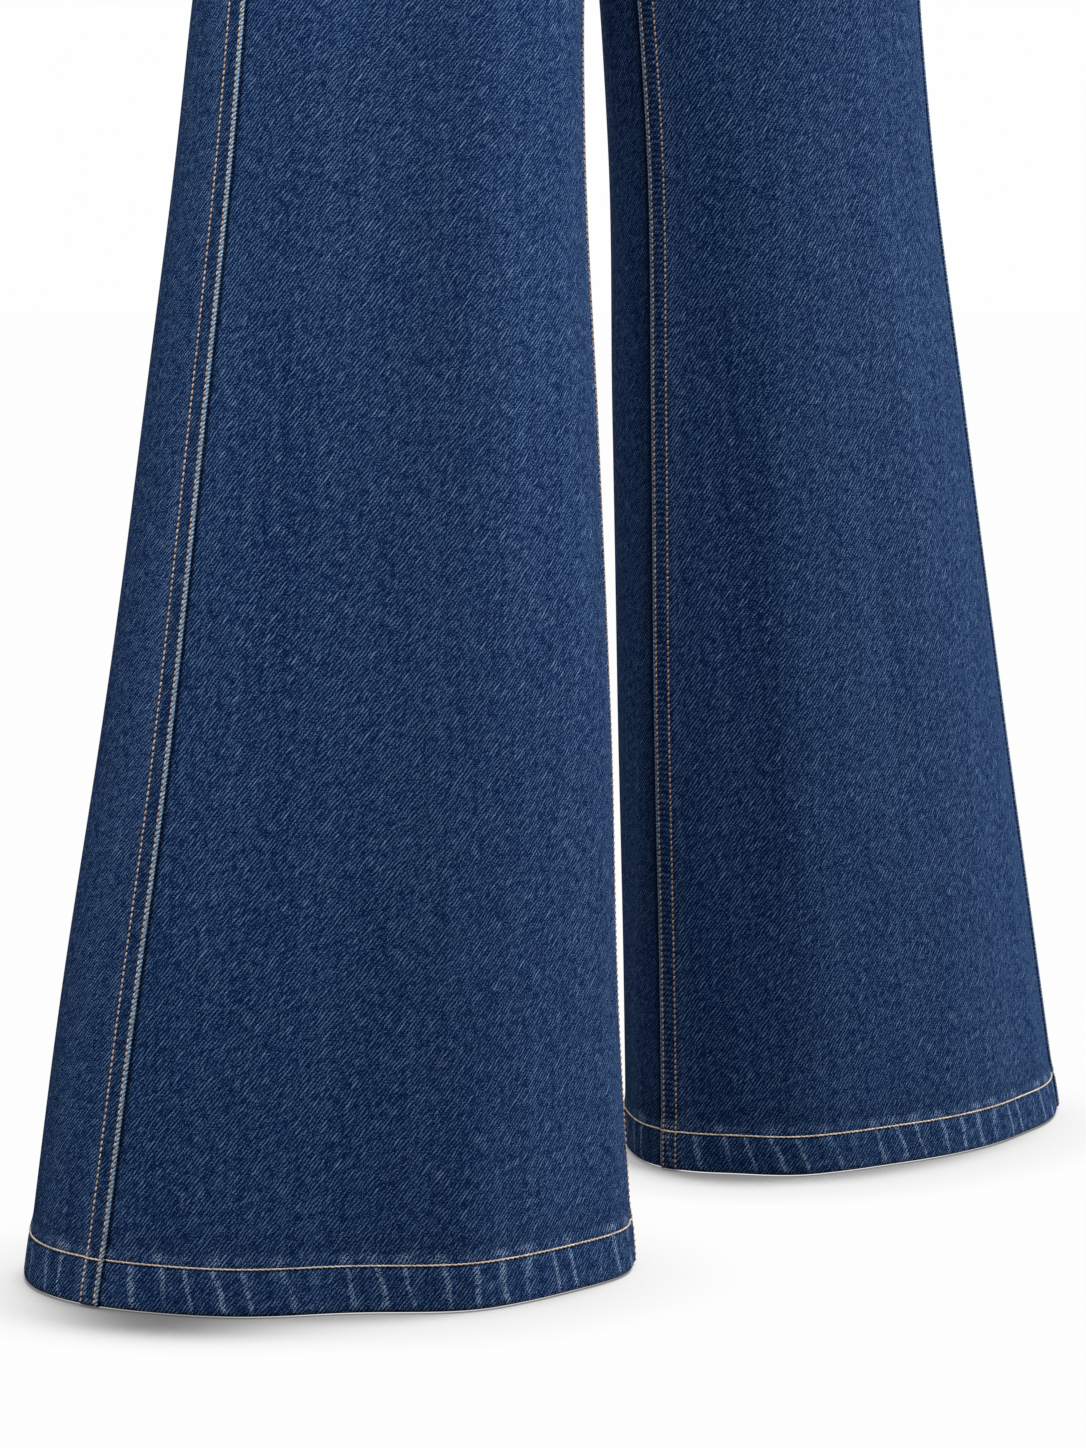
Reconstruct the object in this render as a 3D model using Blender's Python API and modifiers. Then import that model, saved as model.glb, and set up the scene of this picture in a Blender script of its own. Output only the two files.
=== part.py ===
"""Wide leg jeans, filled out as if worn, built piece by piece from their sizes.

Metres, +Z up.  The front of the jeans faces -Y and the wearer's left is +X.  The origin is the
middle of the waist opening, halfway up the waistband.  Every piece is a sheet of denim laid over
the same round form: a section at each height is an oval, and a piece covers part of its way
round between two seams.
"""
import math

import bmesh
import bpy
import numpy as np
from mathutils import Vector

# ---- driving sizes -------------------------------------------------------------------------
WAIST_HEIGHT = 1.080        # from the hem edge up to the origin
BAND_DEPTH = 0.040          # waistband, top to bottom
BAND_FOOT = WAIST_HEIGHT - BAND_DEPTH / 2
CROTCH_HEIGHT = 0.820       # inside leg length
CLOTH = 0.0012              # one layer of denim
GAP = 0.0003                # between pieces, at a seam or one on another
HEM_DEPTH = 0.0245          # turned up twice and stitched
HEM_BULGE = 0.0009          # how far the turned hem stands out
HEM_THICKNESS = 0.0032      # its three layers
LAP_WIDTH = 0.0120          # felled seam, edge to edge
LAP_RAISE = 0.0014          # the folded edge stands this far above the panel it covers
LAP_THICKNESS = 0.0025
STEP = 0.0012               # slope from a raised strip down to the single cloth
ROUNDNESS = 2.15            # exponent of the oval: 2 is an ellipse, more is squarer
SLAB = 0.1                  # thickness of the flat slab before it is laid over the form

INDIGO = (0.030, 0.066, 0.165, 1.0)
BRASS = (0.45, 0.28, 0.12, 1.0)
ZIP_TAPE = (0.012, 0.020, 0.050, 1.0)

# ---- the cut of one leg: height above the hem edge, and half the oval's width and depth ------
# A row past the crotch, in this table and the next ones, only sets how they run up to it.
LEG_CUT = (
    # height, half_width, half_depth
    (0.000, 0.1620, 0.1015),
    (0.130, 0.1505, 0.0977),
    (0.280, 0.1382, 0.0935),
    (0.450, 0.1235, 0.0874),
    (0.600, 0.1108, 0.0812),
    (0.680, 0.1066, 0.0805),
    (0.750, 0.1040, 0.0875),
    (CROTCH_HEIGHT, 0.1010, 0.0985),
    (0.850, 0.1000, 0.1050),
)

# How each leg stands: its centre, outwards and back from the middle of the body, the turn of
# its oval, and the two seams, in degrees round the oval.  The outseam is counted from the
# outermost point towards the front, the inseam from the innermost point towards the front.
RIGHT_STANCE = (
    # height, outwards, back, turn, outseam, inseam
    (0.000, 0.2153, -0.1207, 18.7, 41.7, 1.0),
    (0.130, 0.2022, -0.1020, 20.1, 44.7, 0.0),
    (0.280, 0.1825, -0.0805, 21.8, 47.0, -1.0),
    (0.450, 0.1625, -0.0560, 23.8, 48.2, -2.2),
    (0.600, 0.1459, -0.0345, 25.4, 49.4, -3.5),
    (0.700, 0.1322, -0.0180, 24.5, 48.0, -4.0),
    (0.760, 0.1175, -0.0055, 15.0, 38.0, -2.5),
    (CROTCH_HEIGHT, 0.1010, 0.0060, 2.0, 22.0, 0.0),
    (0.860, 0.0910, 0.0090, 0.0, 18.0, 0.0),
)
LEFT_STANCE = (
    # height, outwards, back, turn, outseam, inseam
    (0.000, 0.2105, 0.0673, 18.7, 34.0, 1.0),
    (0.130, 0.1924, 0.0569, 20.1, 36.0, 0.0),
    (0.280, 0.1707, 0.0449, 21.8, 38.0, -1.0),
    (0.450, 0.1477, 0.0313, 23.8, 41.0, -2.2),
    (0.600, 0.1276, 0.0192, 25.4, 44.0, -3.5),
    (0.700, 0.1153, 0.0135, 24.5, 43.5, -4.0),
    (0.760, 0.1080, 0.0095, 15.0, 36.0, -2.5),
    (CROTCH_HEIGHT, 0.1010, 0.0060, 2.0, 22.0, 0.0),
    (0.860, 0.0910, 0.0090, 0.0, 18.0, 0.0),
)

# Above the crotch each half of the body is an oval cut off at the middle plane.  Its reach is
# how far its centre stands from that plane, as a share of half its width.
BODY_CUT = (
    # height, side, reach, half_depth, back, turn, outseam
    (0.780, 0.2120, 1.00, 0.0925, 0.004, 10.0, 32.0),
    (CROTCH_HEIGHT, 0.2020, 1.00, 0.0985, 0.006, 2.0, 22.0),
    (0.840, 0.1983, 0.87, 0.1035, 0.008, 0.6, 19.0),
    (0.870, 0.1940, 0.64, 0.1095, 0.010, 0.0, 16.5),
    (0.900, 0.1900, 0.43, 0.1145, 0.012, 0.0, 15.0),
    (0.940, 0.1830, 0.22, 0.1165, 0.011, 0.0, 14.0),
    (0.980, 0.1720, 0.09, 0.1130, 0.008, 0.0, 14.0),
    (1.020, 0.1580, 0.00, 0.1060, 0.004, 0.0, 14.0),
    (BAND_FOOT, 0.1420, 0.00, 0.0980, 0.000, 0.0, 14.0),
    (1.104, 0.1340, 0.00, 0.0940, 0.000, 0.0, 14.0),
)

# Soft troughs and ridges of the hanging cloth, deepest at the hem and gone at their top. One
# that leans moves round the leg by so many degrees for each metre up.
RIGHT_FOLDS = (
    # angle, lean, spread, depth, top
    (70.0, 0.0, 11.0, 0.0016, 0.62),
    (91.0, -34.0, 10.0, -0.0042, 0.72),
    (113.0, -26.0, 11.0, 0.0050, 0.80),
    (141.0, 0.0, 12.0, -0.0026, 0.72),
    (165.0, 0.0, 10.0, 0.0018, 0.56),
    (212.0, 0.0, 12.0, -0.0040, 0.55),
    (247.0, 8.0, 13.0, 0.0030, 0.66),
    (292.0, 0.0, 14.0, -0.0036, 0.60),
    (338.0, -10.0, 13.0, 0.0026, 0.48),
)
LEFT_FOLDS = (
    # angle, lean, spread, depth, top
    (68.0, 0.0, 11.0, -0.0022, 0.60),
    (110.0, 0.0, 13.0, -0.0028, 0.76),
    (137.0, 0.0, 10.0, 0.0026, 0.60),
    (155.0, -6.0, 9.0, -0.0020, 0.74),
    (178.0, 0.0, 12.0, 0.0032, 0.76),
    (205.0, 0.0, 12.0, -0.0024, 0.60),
    (243.0, -8.0, 12.0, -0.0038, 0.64),
    (285.0, 0.0, 14.0, 0.0030, 0.56),
    (330.0, 10.0, 12.0, -0.0030, 0.60),
)

# ---- smaller pieces ------------------------------------------------------------------------
YOKE_SIDE_DROP = 0.034      # back yoke, below the band at the side seam
YOKE_MIDDLE_DROP = 0.072    # and at the middle of the back
MOUTH_WIDTH = 0.092         # front pocket opening, along the waist
MOUTH_DROP = 0.100          # and down the side seam
MOUTH_UNDERLAP = 0.016      # the pocket's side piece reaches this far under the front
POCKET_WIDTH = 0.145        # back patch pocket
POCKET_SIDE_DEPTH = 0.128
POCKET_POINT_DEPTH = 0.146
POCKET_FROM_MIDDLE = 0.050  # from the middle of the back to its nearer edge
POCKET_TOP_DROP = 0.080     # below the band
POCKET_LIFT = 0.0013        # clear of the panel's flat facets
FLY_WIDTH = 0.036
FLY_DEPTH = 0.150
FLY_ROUND = 0.052           # length of its foot, rounded in towards the seam
FLY_TIP = 0.30              # share of the width left at the very foot
FLY_ROWS = (0.0, 0.03, 0.07, 0.12, 0.19, 0.27, 0.36, 0.55, 0.78, 1.0)
FLY_COLUMNS = 6
FLY_OVERLAP = 0.005         # past the middle, onto the right front
FLY_LIFT = 0.0006           # clear of the fronts' flat facets
ZIP_WIDTH = 0.026
ZIP_DEPTH = 0.125
ZIP_THICKNESS = 0.0012
ZIP_ROWS = (0.0, 0.2, 0.4, 0.6, 0.8, 1.0)
ZIP_COLUMNS = 4
STRIP_REACH = 40.0          # degrees of the section searched for a strip's edges
BAND_THICKNESS = 0.0024
BAND_OVERLAP_ANGLE = 14.0   # the buttoned end, in degrees round the waist
BUTTON_ANGLE = 93.0
BUTTON_STEPS = 20
LOOP_WIDTH = 0.011
LOOP_HEIGHT = 0.052
LOOP_FOOT = BAND_FOOT - 0.014
LOOP_THICKNESS = 0.0018
LOOP_LIFT = 0.0006
LOOP_ANGLES = {
    "belt_loop_front_left": 62.0,
    "belt_loop_front_right": 118.0,
    "belt_loop_side_left": 338.0,
    "belt_loop_side_right": 202.0,
    "belt_loop_back": 270.0,
}
BUTTON_PROFILE = (
    # radius, height above the band, from the rim of the head round to its foot
    (0.0000, 0.0052),
    (0.0060, 0.0050),
    (0.0080, 0.0043),
    (0.0085, 0.0034),
    (0.0080, 0.0027),
    (0.0040, 0.0023),
    (0.0040, 0.0000),
    (0.0000, 0.0000),
)

# Rows of points up a panel.
HEM_ROWS = (0.0, HEM_DEPTH, HEM_DEPTH + STEP)
LEG_ROWS = (0.070, 0.120, 0.170, 0.225, 0.280, 0.335, 0.390, 0.450, 0.505, 0.560, 0.610,
            0.660, 0.705, 0.745, 0.780, 0.803)
RISE_ROWS = (CROTCH_HEIGHT, 0.827, 0.837, 0.850, 0.866, 0.886, 0.908, 0.932)
FRONT_TOP_ROWS = (0.960, 0.964, 0.974, 0.990, 1.012, 1.036, BAND_FOOT)
FRONT_COLUMNS = 13
BACK_COLUMNS = 18
EDGE = GAP / 2


# ---- curves through the tables ---------------------------------------------------------------
class Curve:
    """A smooth curve through one column of a table, with no overshoot between its rows."""

    def __init__(self, rows, column):
        self.x = np.array([row[0] for row in rows])
        self.y = np.array([row[column] for row in rows])
        step = np.diff(self.x)
        rise = np.diff(self.y) / step
        slope = np.zeros(len(self.x))
        slope[0], slope[-1] = rise[0], rise[-1]
        for i in range(1, len(rise)):
            if rise[i - 1] * rise[i] > 0.0:
                before = 2.0 * step[i] + step[i - 1]
                after = step[i] + 2.0 * step[i - 1]
                slope[i] = (before + after) / (before / rise[i - 1] + after / rise[i])
        self.slope = slope

    def __call__(self, at):
        at = min(max(at, self.x[0]), self.x[-1])
        i = min(int(np.searchsorted(self.x, at, side="right")) - 1, len(self.x) - 2)
        step = self.x[i + 1] - self.x[i]
        t = (at - self.x[i]) / step
        return (self.y[i] * (1 + 2 * t) * (1 - t) ** 2
                + self.y[i + 1] * t * t * (3 - 2 * t)
                + step * t * (1 - t) * (self.slope[i] * (1 - t) - self.slope[i + 1] * t))


LEG = {name: Curve(LEG_CUT, i) for i, name in enumerate(("height", "half_width", "half_depth"))}
BODY = {name: Curve(BODY_CUT, i)
        for i, name in enumerate(("height", "side", "reach", "half_depth", "back", "turn",
                                  "outseam"))}
STANCE_COLUMNS = ("height", "outwards", "back", "turn", "outseam", "inseam")
STANCE = {
    -1: {name: Curve(RIGHT_STANCE, i) for i, name in enumerate(STANCE_COLUMNS)},
    1: {name: Curve(LEFT_STANCE, i) for i, name in enumerate(STANCE_COLUMNS)},
}
FOLDS = {-1: RIGHT_FOLDS, 1: LEFT_FOLDS}


def smoothstep(value):
    value = min(max(value, 0.0), 1.0)
    return value * value * (3.0 - 2.0 * value)


# ---- the form that the cloth is laid over -----------------------------------------------------
def oval(side, height):
    """Centre outwards and back, half width, half depth and turn of the section at a height."""
    if height < CROTCH_HEIGHT:
        stance = STANCE[side]
        return (stance["outwards"](height), stance["back"](height), LEG["half_width"](height),
                LEG["half_depth"](height), math.radians(stance["turn"](height)))
    reach = BODY["reach"](height)
    half_width = BODY["side"](height) / (1.0 + reach)
    return (reach * half_width, BODY["back"](height), half_width, BODY["half_depth"](height),
            math.radians(BODY["turn"](height)))


def powered(value, power):
    return math.copysign(abs(value) ** power, value)


def fold_depth(side, height, angle):
    """How far the soft folds push the cloth out (or in) at a place."""
    total = 0.0
    for centre, lean, spread, depth, top in FOLDS[side]:
        away = (angle - centre - lean * height + 180.0) % 360.0 - 180.0
        fade = smoothstep(1.0 - height / top)
        total += depth * fade * math.exp(-(away / spread) ** 2)
    return total


def skin(side, height, angle, out=0.0):
    """The point of the form at a height and an angle round it, moved out of the surface.

    The angle runs from the outermost point (0) over the front (90) to the innermost (180).
    """
    centre, back, half_width, half_depth, turn = oval(side, height)
    radians = math.radians(angle)
    across = powered(math.cos(radians), 2.0 / ROUNDNESS)
    ahead = powered(math.sin(radians), 2.0 / ROUNDNESS)
    slope_across = powered(across, ROUNDNESS - 1.0) / half_width
    slope_ahead = powered(ahead, ROUNDNESS - 1.0) / half_depth
    steepness = math.hypot(slope_across, slope_ahead)
    out += fold_depth(side, height, angle)
    across = across * half_width + out * slope_across / steepness
    ahead = ahead * half_depth + out * slope_ahead / steepness
    outwards = centre + across * math.cos(turn) + ahead * math.sin(turn)
    backwards = back + across * math.sin(turn) - ahead * math.cos(turn)
    return Vector((side * outwards, backwards, height - WAIST_HEIGHT))


def middle_angle(height):
    """How far round from the innermost point the oval meets the middle plane."""
    return math.degrees(math.acos(BODY["reach"](height) ** (ROUNDNESS / 2.0)))


def outseam(side, height):
    return STANCE[side]["outseam"](height) if height < CROTCH_HEIGHT else BODY["outseam"](height)


def front_edges(side, height):
    """Angles of the front panel's two edges: the outseam, and the inseam or centre front."""
    if height < CROTCH_HEIGHT:
        return outseam(side, height), 180.0 - STANCE[side]["inseam"](height)
    return outseam(side, height), 180.0 - middle_angle(height)


def back_edges(side, height):
    """Angles of the back panel's two edges: the inseam or centre back, and the outseam."""
    if height < CROTCH_HEIGHT:
        return 180.0 - STANCE[side]["inseam"](height), 360.0 + outseam(side, height)
    return 180.0 + middle_angle(height), 360.0 + outseam(side, height)


ARC_SAMPLES = 72


def arc(side, height, start, end):
    """Angles and running lengths along the section between two angles."""
    angles = np.linspace(start, end, ARC_SAMPLES + 1)
    points = [skin(side, height, angle) for angle in angles]
    lengths = [0.0]
    for one, other in zip(points, points[1:]):
        lengths.append(lengths[-1] + (other - one).length)
    return angles, np.array(lengths)


# ---- pieces ------------------------------------------------------------------------------------
def material(name, colour, roughness, metallic=0.0):
    made = bpy.data.materials.new(name)
    made.use_nodes = True
    shader = made.node_tree.nodes["Principled BSDF"]
    shader.inputs["Base Color"].default_value = colour
    shader.inputs["Roughness"].default_value = roughness
    shader.inputs["Metallic"].default_value = metallic
    return made


def sheet(name, collection, places, colour=INDIGO):
    """A panel: a flat slab whose two faces are laid on the rows of (outer, inner) points."""
    rows, columns = len(places), len(places[0])
    shape = bmesh.new()
    bmesh.ops.create_grid(shape, x_segments=columns - 1, y_segments=rows - 1, size=0.5)
    bmesh.ops.solidify(shape, geom=shape.faces[:], thickness=SLAB)
    for vertex in shape.verts:
        column = round((vertex.co.x + 0.5) * (columns - 1))
        row = round((vertex.co.y + 0.5) * (rows - 1))
        outer, inner = places[row][column]
        vertex.co = inner if abs(vertex.co.z) > SLAB / 2 else outer
    if shape.calc_volume(signed=True) < 0.0:
        bmesh.ops.reverse_faces(shape, faces=shape.faces[:])
    mesh = bpy.data.meshes.new(name)
    shape.to_mesh(mesh)
    shape.free()
    piece = bpy.data.objects.new(name, mesh)
    collection.objects.link(piece)
    mesh.materials.append(material(name, colour, 0.9))
    mesh.shade_smooth()
    mesh.set_sharp_from_angle(angle=math.radians(40.0))
    return piece


def hem_share(height):
    return 1.0 if height <= HEM_DEPTH + 1e-6 else 0.0


def ply(side, height, angle, out, thickness, halved=True):
    """The outer and inner points of the cloth at a place.

    A panel of one half stays half a gap from the middle plane, where its twin begins.
    """
    points = []
    for depth in (out, out - thickness):
        point = skin(side, height, angle, depth)
        if halved:
            point.x = side * max(side * point.x, EDGE)
        points.append(point)
    return tuple(points)


def leg_panel_places(side, heights, edges, columns, lapped, start_inset=None):
    """Rows of places for a leg panel, with a raised felled strip along its far edge."""
    places = []
    for height in heights:
        start, end = edges(side, height)
        angles, lengths = arc(side, height, start, end)
        inset = start_inset(height) if start_inset else 0.0
        first, last = EDGE + inset, lengths[-1] - EDGE
        foot = last - LAP_WIDTH - STEP
        distances = list(np.linspace(first, foot, columns + 1)) + [last - LAP_WIDTH, last]
        lap = lapped(height)
        hem = hem_share(height)
        row = []
        for distance in distances:
            raised = lap if distance > foot + STEP / 2 else 0.0
            angle = float(np.interp(distance, lengths, angles))
            out = LAP_RAISE * raised + HEM_BULGE * hem
            thickness = CLOTH + (HEM_THICKNESS - CLOTH) * hem + (LAP_THICKNESS - CLOTH) * raised
            row.append(ply(side, height, angle, out, thickness))
        places.append(row)
    return places


def mouth_inset(height):
    """How far the scooped pocket mouth cuts into the front panel from the outseam."""
    down = (BAND_FOOT - height) / MOUTH_DROP
    return MOUTH_WIDTH * math.sqrt(1.0 - down * down) if down < 1.0 else 0.0


def front_panel(name, side, collection):
    heights = HEM_ROWS + LEG_ROWS + RISE_ROWS + FRONT_TOP_ROWS
    places = leg_panel_places(side, heights, front_edges, FRONT_COLUMNS,
                              lambda height: smoothstep((CROTCH_HEIGHT - height) / 0.04),
                              start_inset=mouth_inset)
    return sheet(name, collection, places)


def yoke_line(share):
    """Height of the yoke seam at a share of the way from the centre back to the outseam."""
    drop = YOKE_MIDDLE_DROP + (YOKE_SIDE_DROP - YOKE_MIDDLE_DROP) * share
    return BAND_FOOT - drop


BACK_TOP_SHARES = (0.30, 0.62, 1.0)


def back_panel(name, side, collection):
    """The back leg panel, whose top rows lean over to the slanting yoke seam."""
    heights = HEM_ROWS + LEG_ROWS + RISE_ROWS
    places = leg_panel_places(side, heights, back_edges, BACK_COLUMNS, lambda height: 1.0)
    last = heights[-1]
    columns = len(places[0])
    for climb in BACK_TOP_SHARES:
        row = []
        for column in range(columns):
            share = column / (columns - 1)
            height = last + (yoke_line(share) - GAP - last) * climb
            start, end = back_edges(side, height)
            angles, lengths = arc(side, height, start, end)
            first, final = EDGE, lengths[-1] - EDGE
            foot = final - LAP_WIDTH - STEP
            spots = list(np.linspace(first, foot, BACK_COLUMNS + 1)) + [final - LAP_WIDTH, final]
            raised = 1.0 if column >= columns - 2 else 0.0
            angle = float(np.interp(spots[column], lengths, angles))
            thickness = CLOTH + (LAP_THICKNESS - CLOTH) * raised
            row.append(ply(side, height, angle, LAP_RAISE * raised, thickness))
        places.append(row)
    return sheet(name, collection, places)


YOKE_SHARES = (0.0, 0.34, 0.67, 1.0)
YOKE_COLUMNS = 12


def yoke(name, side, collection):
    places = []
    for climb in YOKE_SHARES:
        row = []
        for column in range(YOKE_COLUMNS + 1):
            share = column / YOKE_COLUMNS
            foot = yoke_line(share)
            height = foot + (BAND_FOOT - foot) * climb
            start, end = back_edges(side, height)
            angles, lengths = arc(side, height, start, end)
            distance = EDGE + (lengths[-1] - 2 * EDGE) * share
            angle = float(np.interp(distance, lengths, angles))
            row.append(ply(side, height, angle, 0.0, CLOTH))
        places.append(row)
    return sheet(name, collection, places)


MOUTH_ROWS = (BAND_FOOT - MOUTH_DROP - 0.014,) + FRONT_TOP_ROWS
MOUTH_COLUMNS = 6
MOUTH_DEPTH = 0.0009        # the side piece lies this far behind the front panel


def pocket_side(name, side, collection):
    """The pocket's side piece, behind the front panel and showing in its scooped mouth."""
    places = []
    for height in MOUTH_ROWS:
        start, end = front_edges(side, height)
        angles, lengths = arc(side, height, start, end)
        row = []
        for column in range(MOUTH_COLUMNS + 1):
            reach = (mouth_inset(height) + MOUTH_UNDERLAP) * column / MOUTH_COLUMNS
            angle = float(np.interp(EDGE + reach, lengths, angles))
            row.append(ply(side, height, angle, -CLOTH - MOUTH_DEPTH, CLOTH))
        places.append(row)
    return sheet(name, collection, places)


POCKET_COLUMNS = 12
POCKET_ROWS = 9


def back_pocket(name, side, collection):
    """A patch pocket with a pointed foot, lying on the back panel."""
    places = []
    for step in range(POCKET_ROWS + 1):
        row = []
        for column in range(POCKET_COLUMNS + 1):
            share = column / POCKET_COLUMNS
            corner = abs(2 * share - 1)
            depth = POCKET_POINT_DEPTH + (POCKET_SIDE_DEPTH - POCKET_POINT_DEPTH) * corner
            height = BAND_FOOT - POCKET_TOP_DROP - depth * (1.0 - step / POCKET_ROWS)
            start, end = back_edges(side, height)
            angles, lengths = arc(side, height, start, end)
            middle_reach = POCKET_FROM_MIDDLE + POCKET_WIDTH / 2
            distance = middle_reach + (share - 0.5) * POCKET_WIDTH
            angle = float(np.interp(distance, lengths, angles))
            row.append(ply(side, height, angle, POCKET_LIFT + CLOTH, CLOTH))
        places.append(row)
    return sheet(name, collection, places)


BAND_STEPS = 46
BAND_START = 85.0           # the under end starts just left of the middle
BAND_RAMP = 0.05            # share of the way round in which the upper end climbs over it


def waistband(name, collection):
    """One strip round the waist, its two ends lapped at the front."""
    sweep = 360.0 + BAND_OVERLAP_ANGLE
    ramp_foot = 1.0 - BAND_RAMP - BAND_OVERLAP_ANGLE / sweep
    places = []
    for height in (BAND_FOOT + GAP, WAIST_HEIGHT, BAND_FOOT + BAND_DEPTH):
        row = []
        for step in range(BAND_STEPS + 1):
            share = step / BAND_STEPS
            lift = smoothstep((share - ramp_foot) / BAND_RAMP) * (BAND_THICKNESS + GAP)
            angle = BAND_START + sweep * share
            row.append(ply(1, height, angle, lift, BAND_THICKNESS, halved=False))
        places.append(row)
    return sheet(name, collection, places)


LOOP_STEPS = 2
LOOP_ROWS = 4
LOOP_SEARCH = 12.0          # degrees of the section searched for a loop's edges


def belt_loop(name, angle, collection):
    """A narrow upright strip pressed flat over the waistband."""
    places = []
    for climb in range(LOOP_ROWS + 1):
        height = LOOP_FOOT + LOOP_HEIGHT * climb / LOOP_ROWS
        angles, lengths = arc(1, height, angle - LOOP_SEARCH, angle + LOOP_SEARCH)
        middle = float(np.interp(angle, angles, lengths))
        row = []
        for step in range(LOOP_STEPS + 1):
            distance = middle + (step / LOOP_STEPS - 0.5) * LOOP_WIDTH
            at = float(np.interp(distance, lengths, angles))
            row.append(ply(1, height, at, LOOP_LIFT + LOOP_THICKNESS, LOOP_THICKNESS,
                           halved=False))
        places.append(row)
    return sheet(name, collection, places)


def middle_strip(side_reach, length, climbs, columns, out, thickness):
    """Rows of places for a strip over the centre front seam.

    side_reach gives how far the strip goes to the left and to the right at a depth.
    """
    places = []
    for climb in climbs:
        depth = length * (1.0 - climb)
        height = BAND_FOOT - GAP - depth
        left, right = side_reach(depth)
        edge = 180.0 - middle_angle(height)
        row = []
        for column in range(columns + 1):
            share = column / columns
            distance = -right + (left + right) * share
            side = 1 if distance >= 0.0 else -1
            angles, lengths = arc(side, height, edge, edge - STRIP_REACH)
            at = float(np.interp(abs(distance), lengths, angles))
            row.append(ply(side, height, at, out, thickness, halved=False))
        places.append(row)
    return places


def fly_flap(name, collection):
    """The fly: stitched to the left front and lapped a little over the right, round at its foot."""
    def reach(depth):
        below = max((depth - FLY_DEPTH + FLY_ROUND) / FLY_ROUND, 0.0)
        width = FLY_TIP + (1.0 - FLY_TIP) * math.sqrt(1.0 - below * below)
        return FLY_WIDTH * width - FLY_OVERLAP, FLY_OVERLAP

    places = middle_strip(reach, FLY_DEPTH, FLY_ROWS, FLY_COLUMNS, FLY_LIFT + CLOTH, CLOTH)
    return sheet(name, collection, places)


def zip_tape(name, collection):
    """The closed zip, hidden behind the fronts."""
    half = ZIP_WIDTH / 2
    places = middle_strip(lambda depth: (half, half), ZIP_DEPTH, ZIP_ROWS, ZIP_COLUMNS,
                          -CLOTH - FLY_LIFT, ZIP_THICKNESS)
    return sheet(name, collection, places, ZIP_TAPE)


def waist_button(name, collection):
    """A shank button, turned, on the upper end of the waistband."""
    mesh = bpy.data.meshes.new(name)
    outline = [(radius, 0.0, up) for radius, up in BUTTON_PROFILE]
    mesh.from_pydata(outline, [(i, i + 1) for i in range(len(outline) - 1)], [])
    piece = bpy.data.objects.new(name, mesh)
    collection.objects.link(piece)
    turned = piece.modifiers.new("turned", "SCREW")
    turned.steps = turned.render_steps = BUTTON_STEPS
    turned.use_merge_vertices = True
    turned.merge_threshold = 0.00001
    seat = skin(1, WAIST_HEIGHT, BUTTON_ANGLE, BAND_THICKNESS + 2 * GAP)
    inside = skin(1, WAIST_HEIGHT, BUTTON_ANGLE, 0.0)
    piece.location = seat
    piece.rotation_euler = (seat - inside).to_track_quat("Z", "Y").to_euler()
    mesh.materials.append(material(name, BRASS, 0.35, 1.0))
    return piece


def remove_everything():
    for old in list(bpy.data.objects):
        bpy.data.objects.remove(old, do_unlink=True)


def main():
    remove_everything()
    jeans = bpy.data.collections.new("wide_leg_jeans")
    bpy.context.scene.collection.children.link(jeans)
    for side, hand in ((-1, "right"), (1, "left")):
        front_panel(f"front_{hand}", side, jeans)
        back_panel(f"back_{hand}", side, jeans)
        yoke(f"yoke_{hand}", side, jeans)
        pocket_side(f"pocket_side_{hand}", side, jeans)
        back_pocket(f"back_pocket_{hand}", side, jeans)
    waistband("waistband", jeans)
    fly_flap("fly_flap", jeans)
    zip_tape("zip_tape", jeans)
    waist_button("waist_button", jeans)
    for name, angle in LOOP_ANGLES.items():
        belt_loop(name, angle, jeans)


if __name__ == "__main__":
    main()
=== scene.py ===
"""Wide leg jeans in dark indigo denim, filled out as if worn in mid step.

Each panel is a thin shell of denim laid over the same sections as its solid, with its seams,
hems and soft creases.  Metres, +Z up, front towards -Y, the wearer's left at +X, and the origin
at the middle of the waist opening.
"""

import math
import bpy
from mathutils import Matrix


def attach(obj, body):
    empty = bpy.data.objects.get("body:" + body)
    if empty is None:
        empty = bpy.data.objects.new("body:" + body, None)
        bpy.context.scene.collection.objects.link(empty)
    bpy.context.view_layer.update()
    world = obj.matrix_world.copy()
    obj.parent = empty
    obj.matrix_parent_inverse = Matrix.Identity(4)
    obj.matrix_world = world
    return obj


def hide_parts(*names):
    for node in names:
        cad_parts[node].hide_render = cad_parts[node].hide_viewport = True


bl_info = {
    "name": "Wide Leg Jeans",
    "version": (1, 0, 0),
    "blender": (4, 5, 0),
    "location": "3D View > Sidebar > Jeans",
    "description": "Builds a pair of wide leg denim jeans with felled seams and stitched hems",
    "category": "Add Mesh",
}

import bmesh
import bpy
import numpy as np
from bpy.props import FloatProperty, FloatVectorProperty, PointerProperty
from mathutils import Matrix, Vector

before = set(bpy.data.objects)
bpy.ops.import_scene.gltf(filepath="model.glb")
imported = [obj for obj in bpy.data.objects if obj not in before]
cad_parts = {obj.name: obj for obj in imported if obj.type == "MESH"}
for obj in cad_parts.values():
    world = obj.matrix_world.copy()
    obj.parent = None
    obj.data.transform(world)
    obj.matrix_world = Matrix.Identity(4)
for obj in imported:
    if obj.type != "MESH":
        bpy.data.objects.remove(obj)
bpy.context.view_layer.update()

# ---- the form, as in the solids: height above the hem edge, in metres, and angles in degrees --
WAIST_HEIGHT = 1.080        # the middle of the waistband, where the origin lies
BAND_DEPTH = 0.040
BAND_FOOT = WAIST_HEIGHT - BAND_DEPTH / 2
CROTCH_HEIGHT = 0.820
GAP = 0.0003                # between neighbouring pieces
EDGE = GAP / 2
ROUNDNESS = 2.15            # power of the ovals: 2 is an ellipse, and more is squarer
SLAB = 0.1                  # a shell's thickness before its two faces are laid

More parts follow.
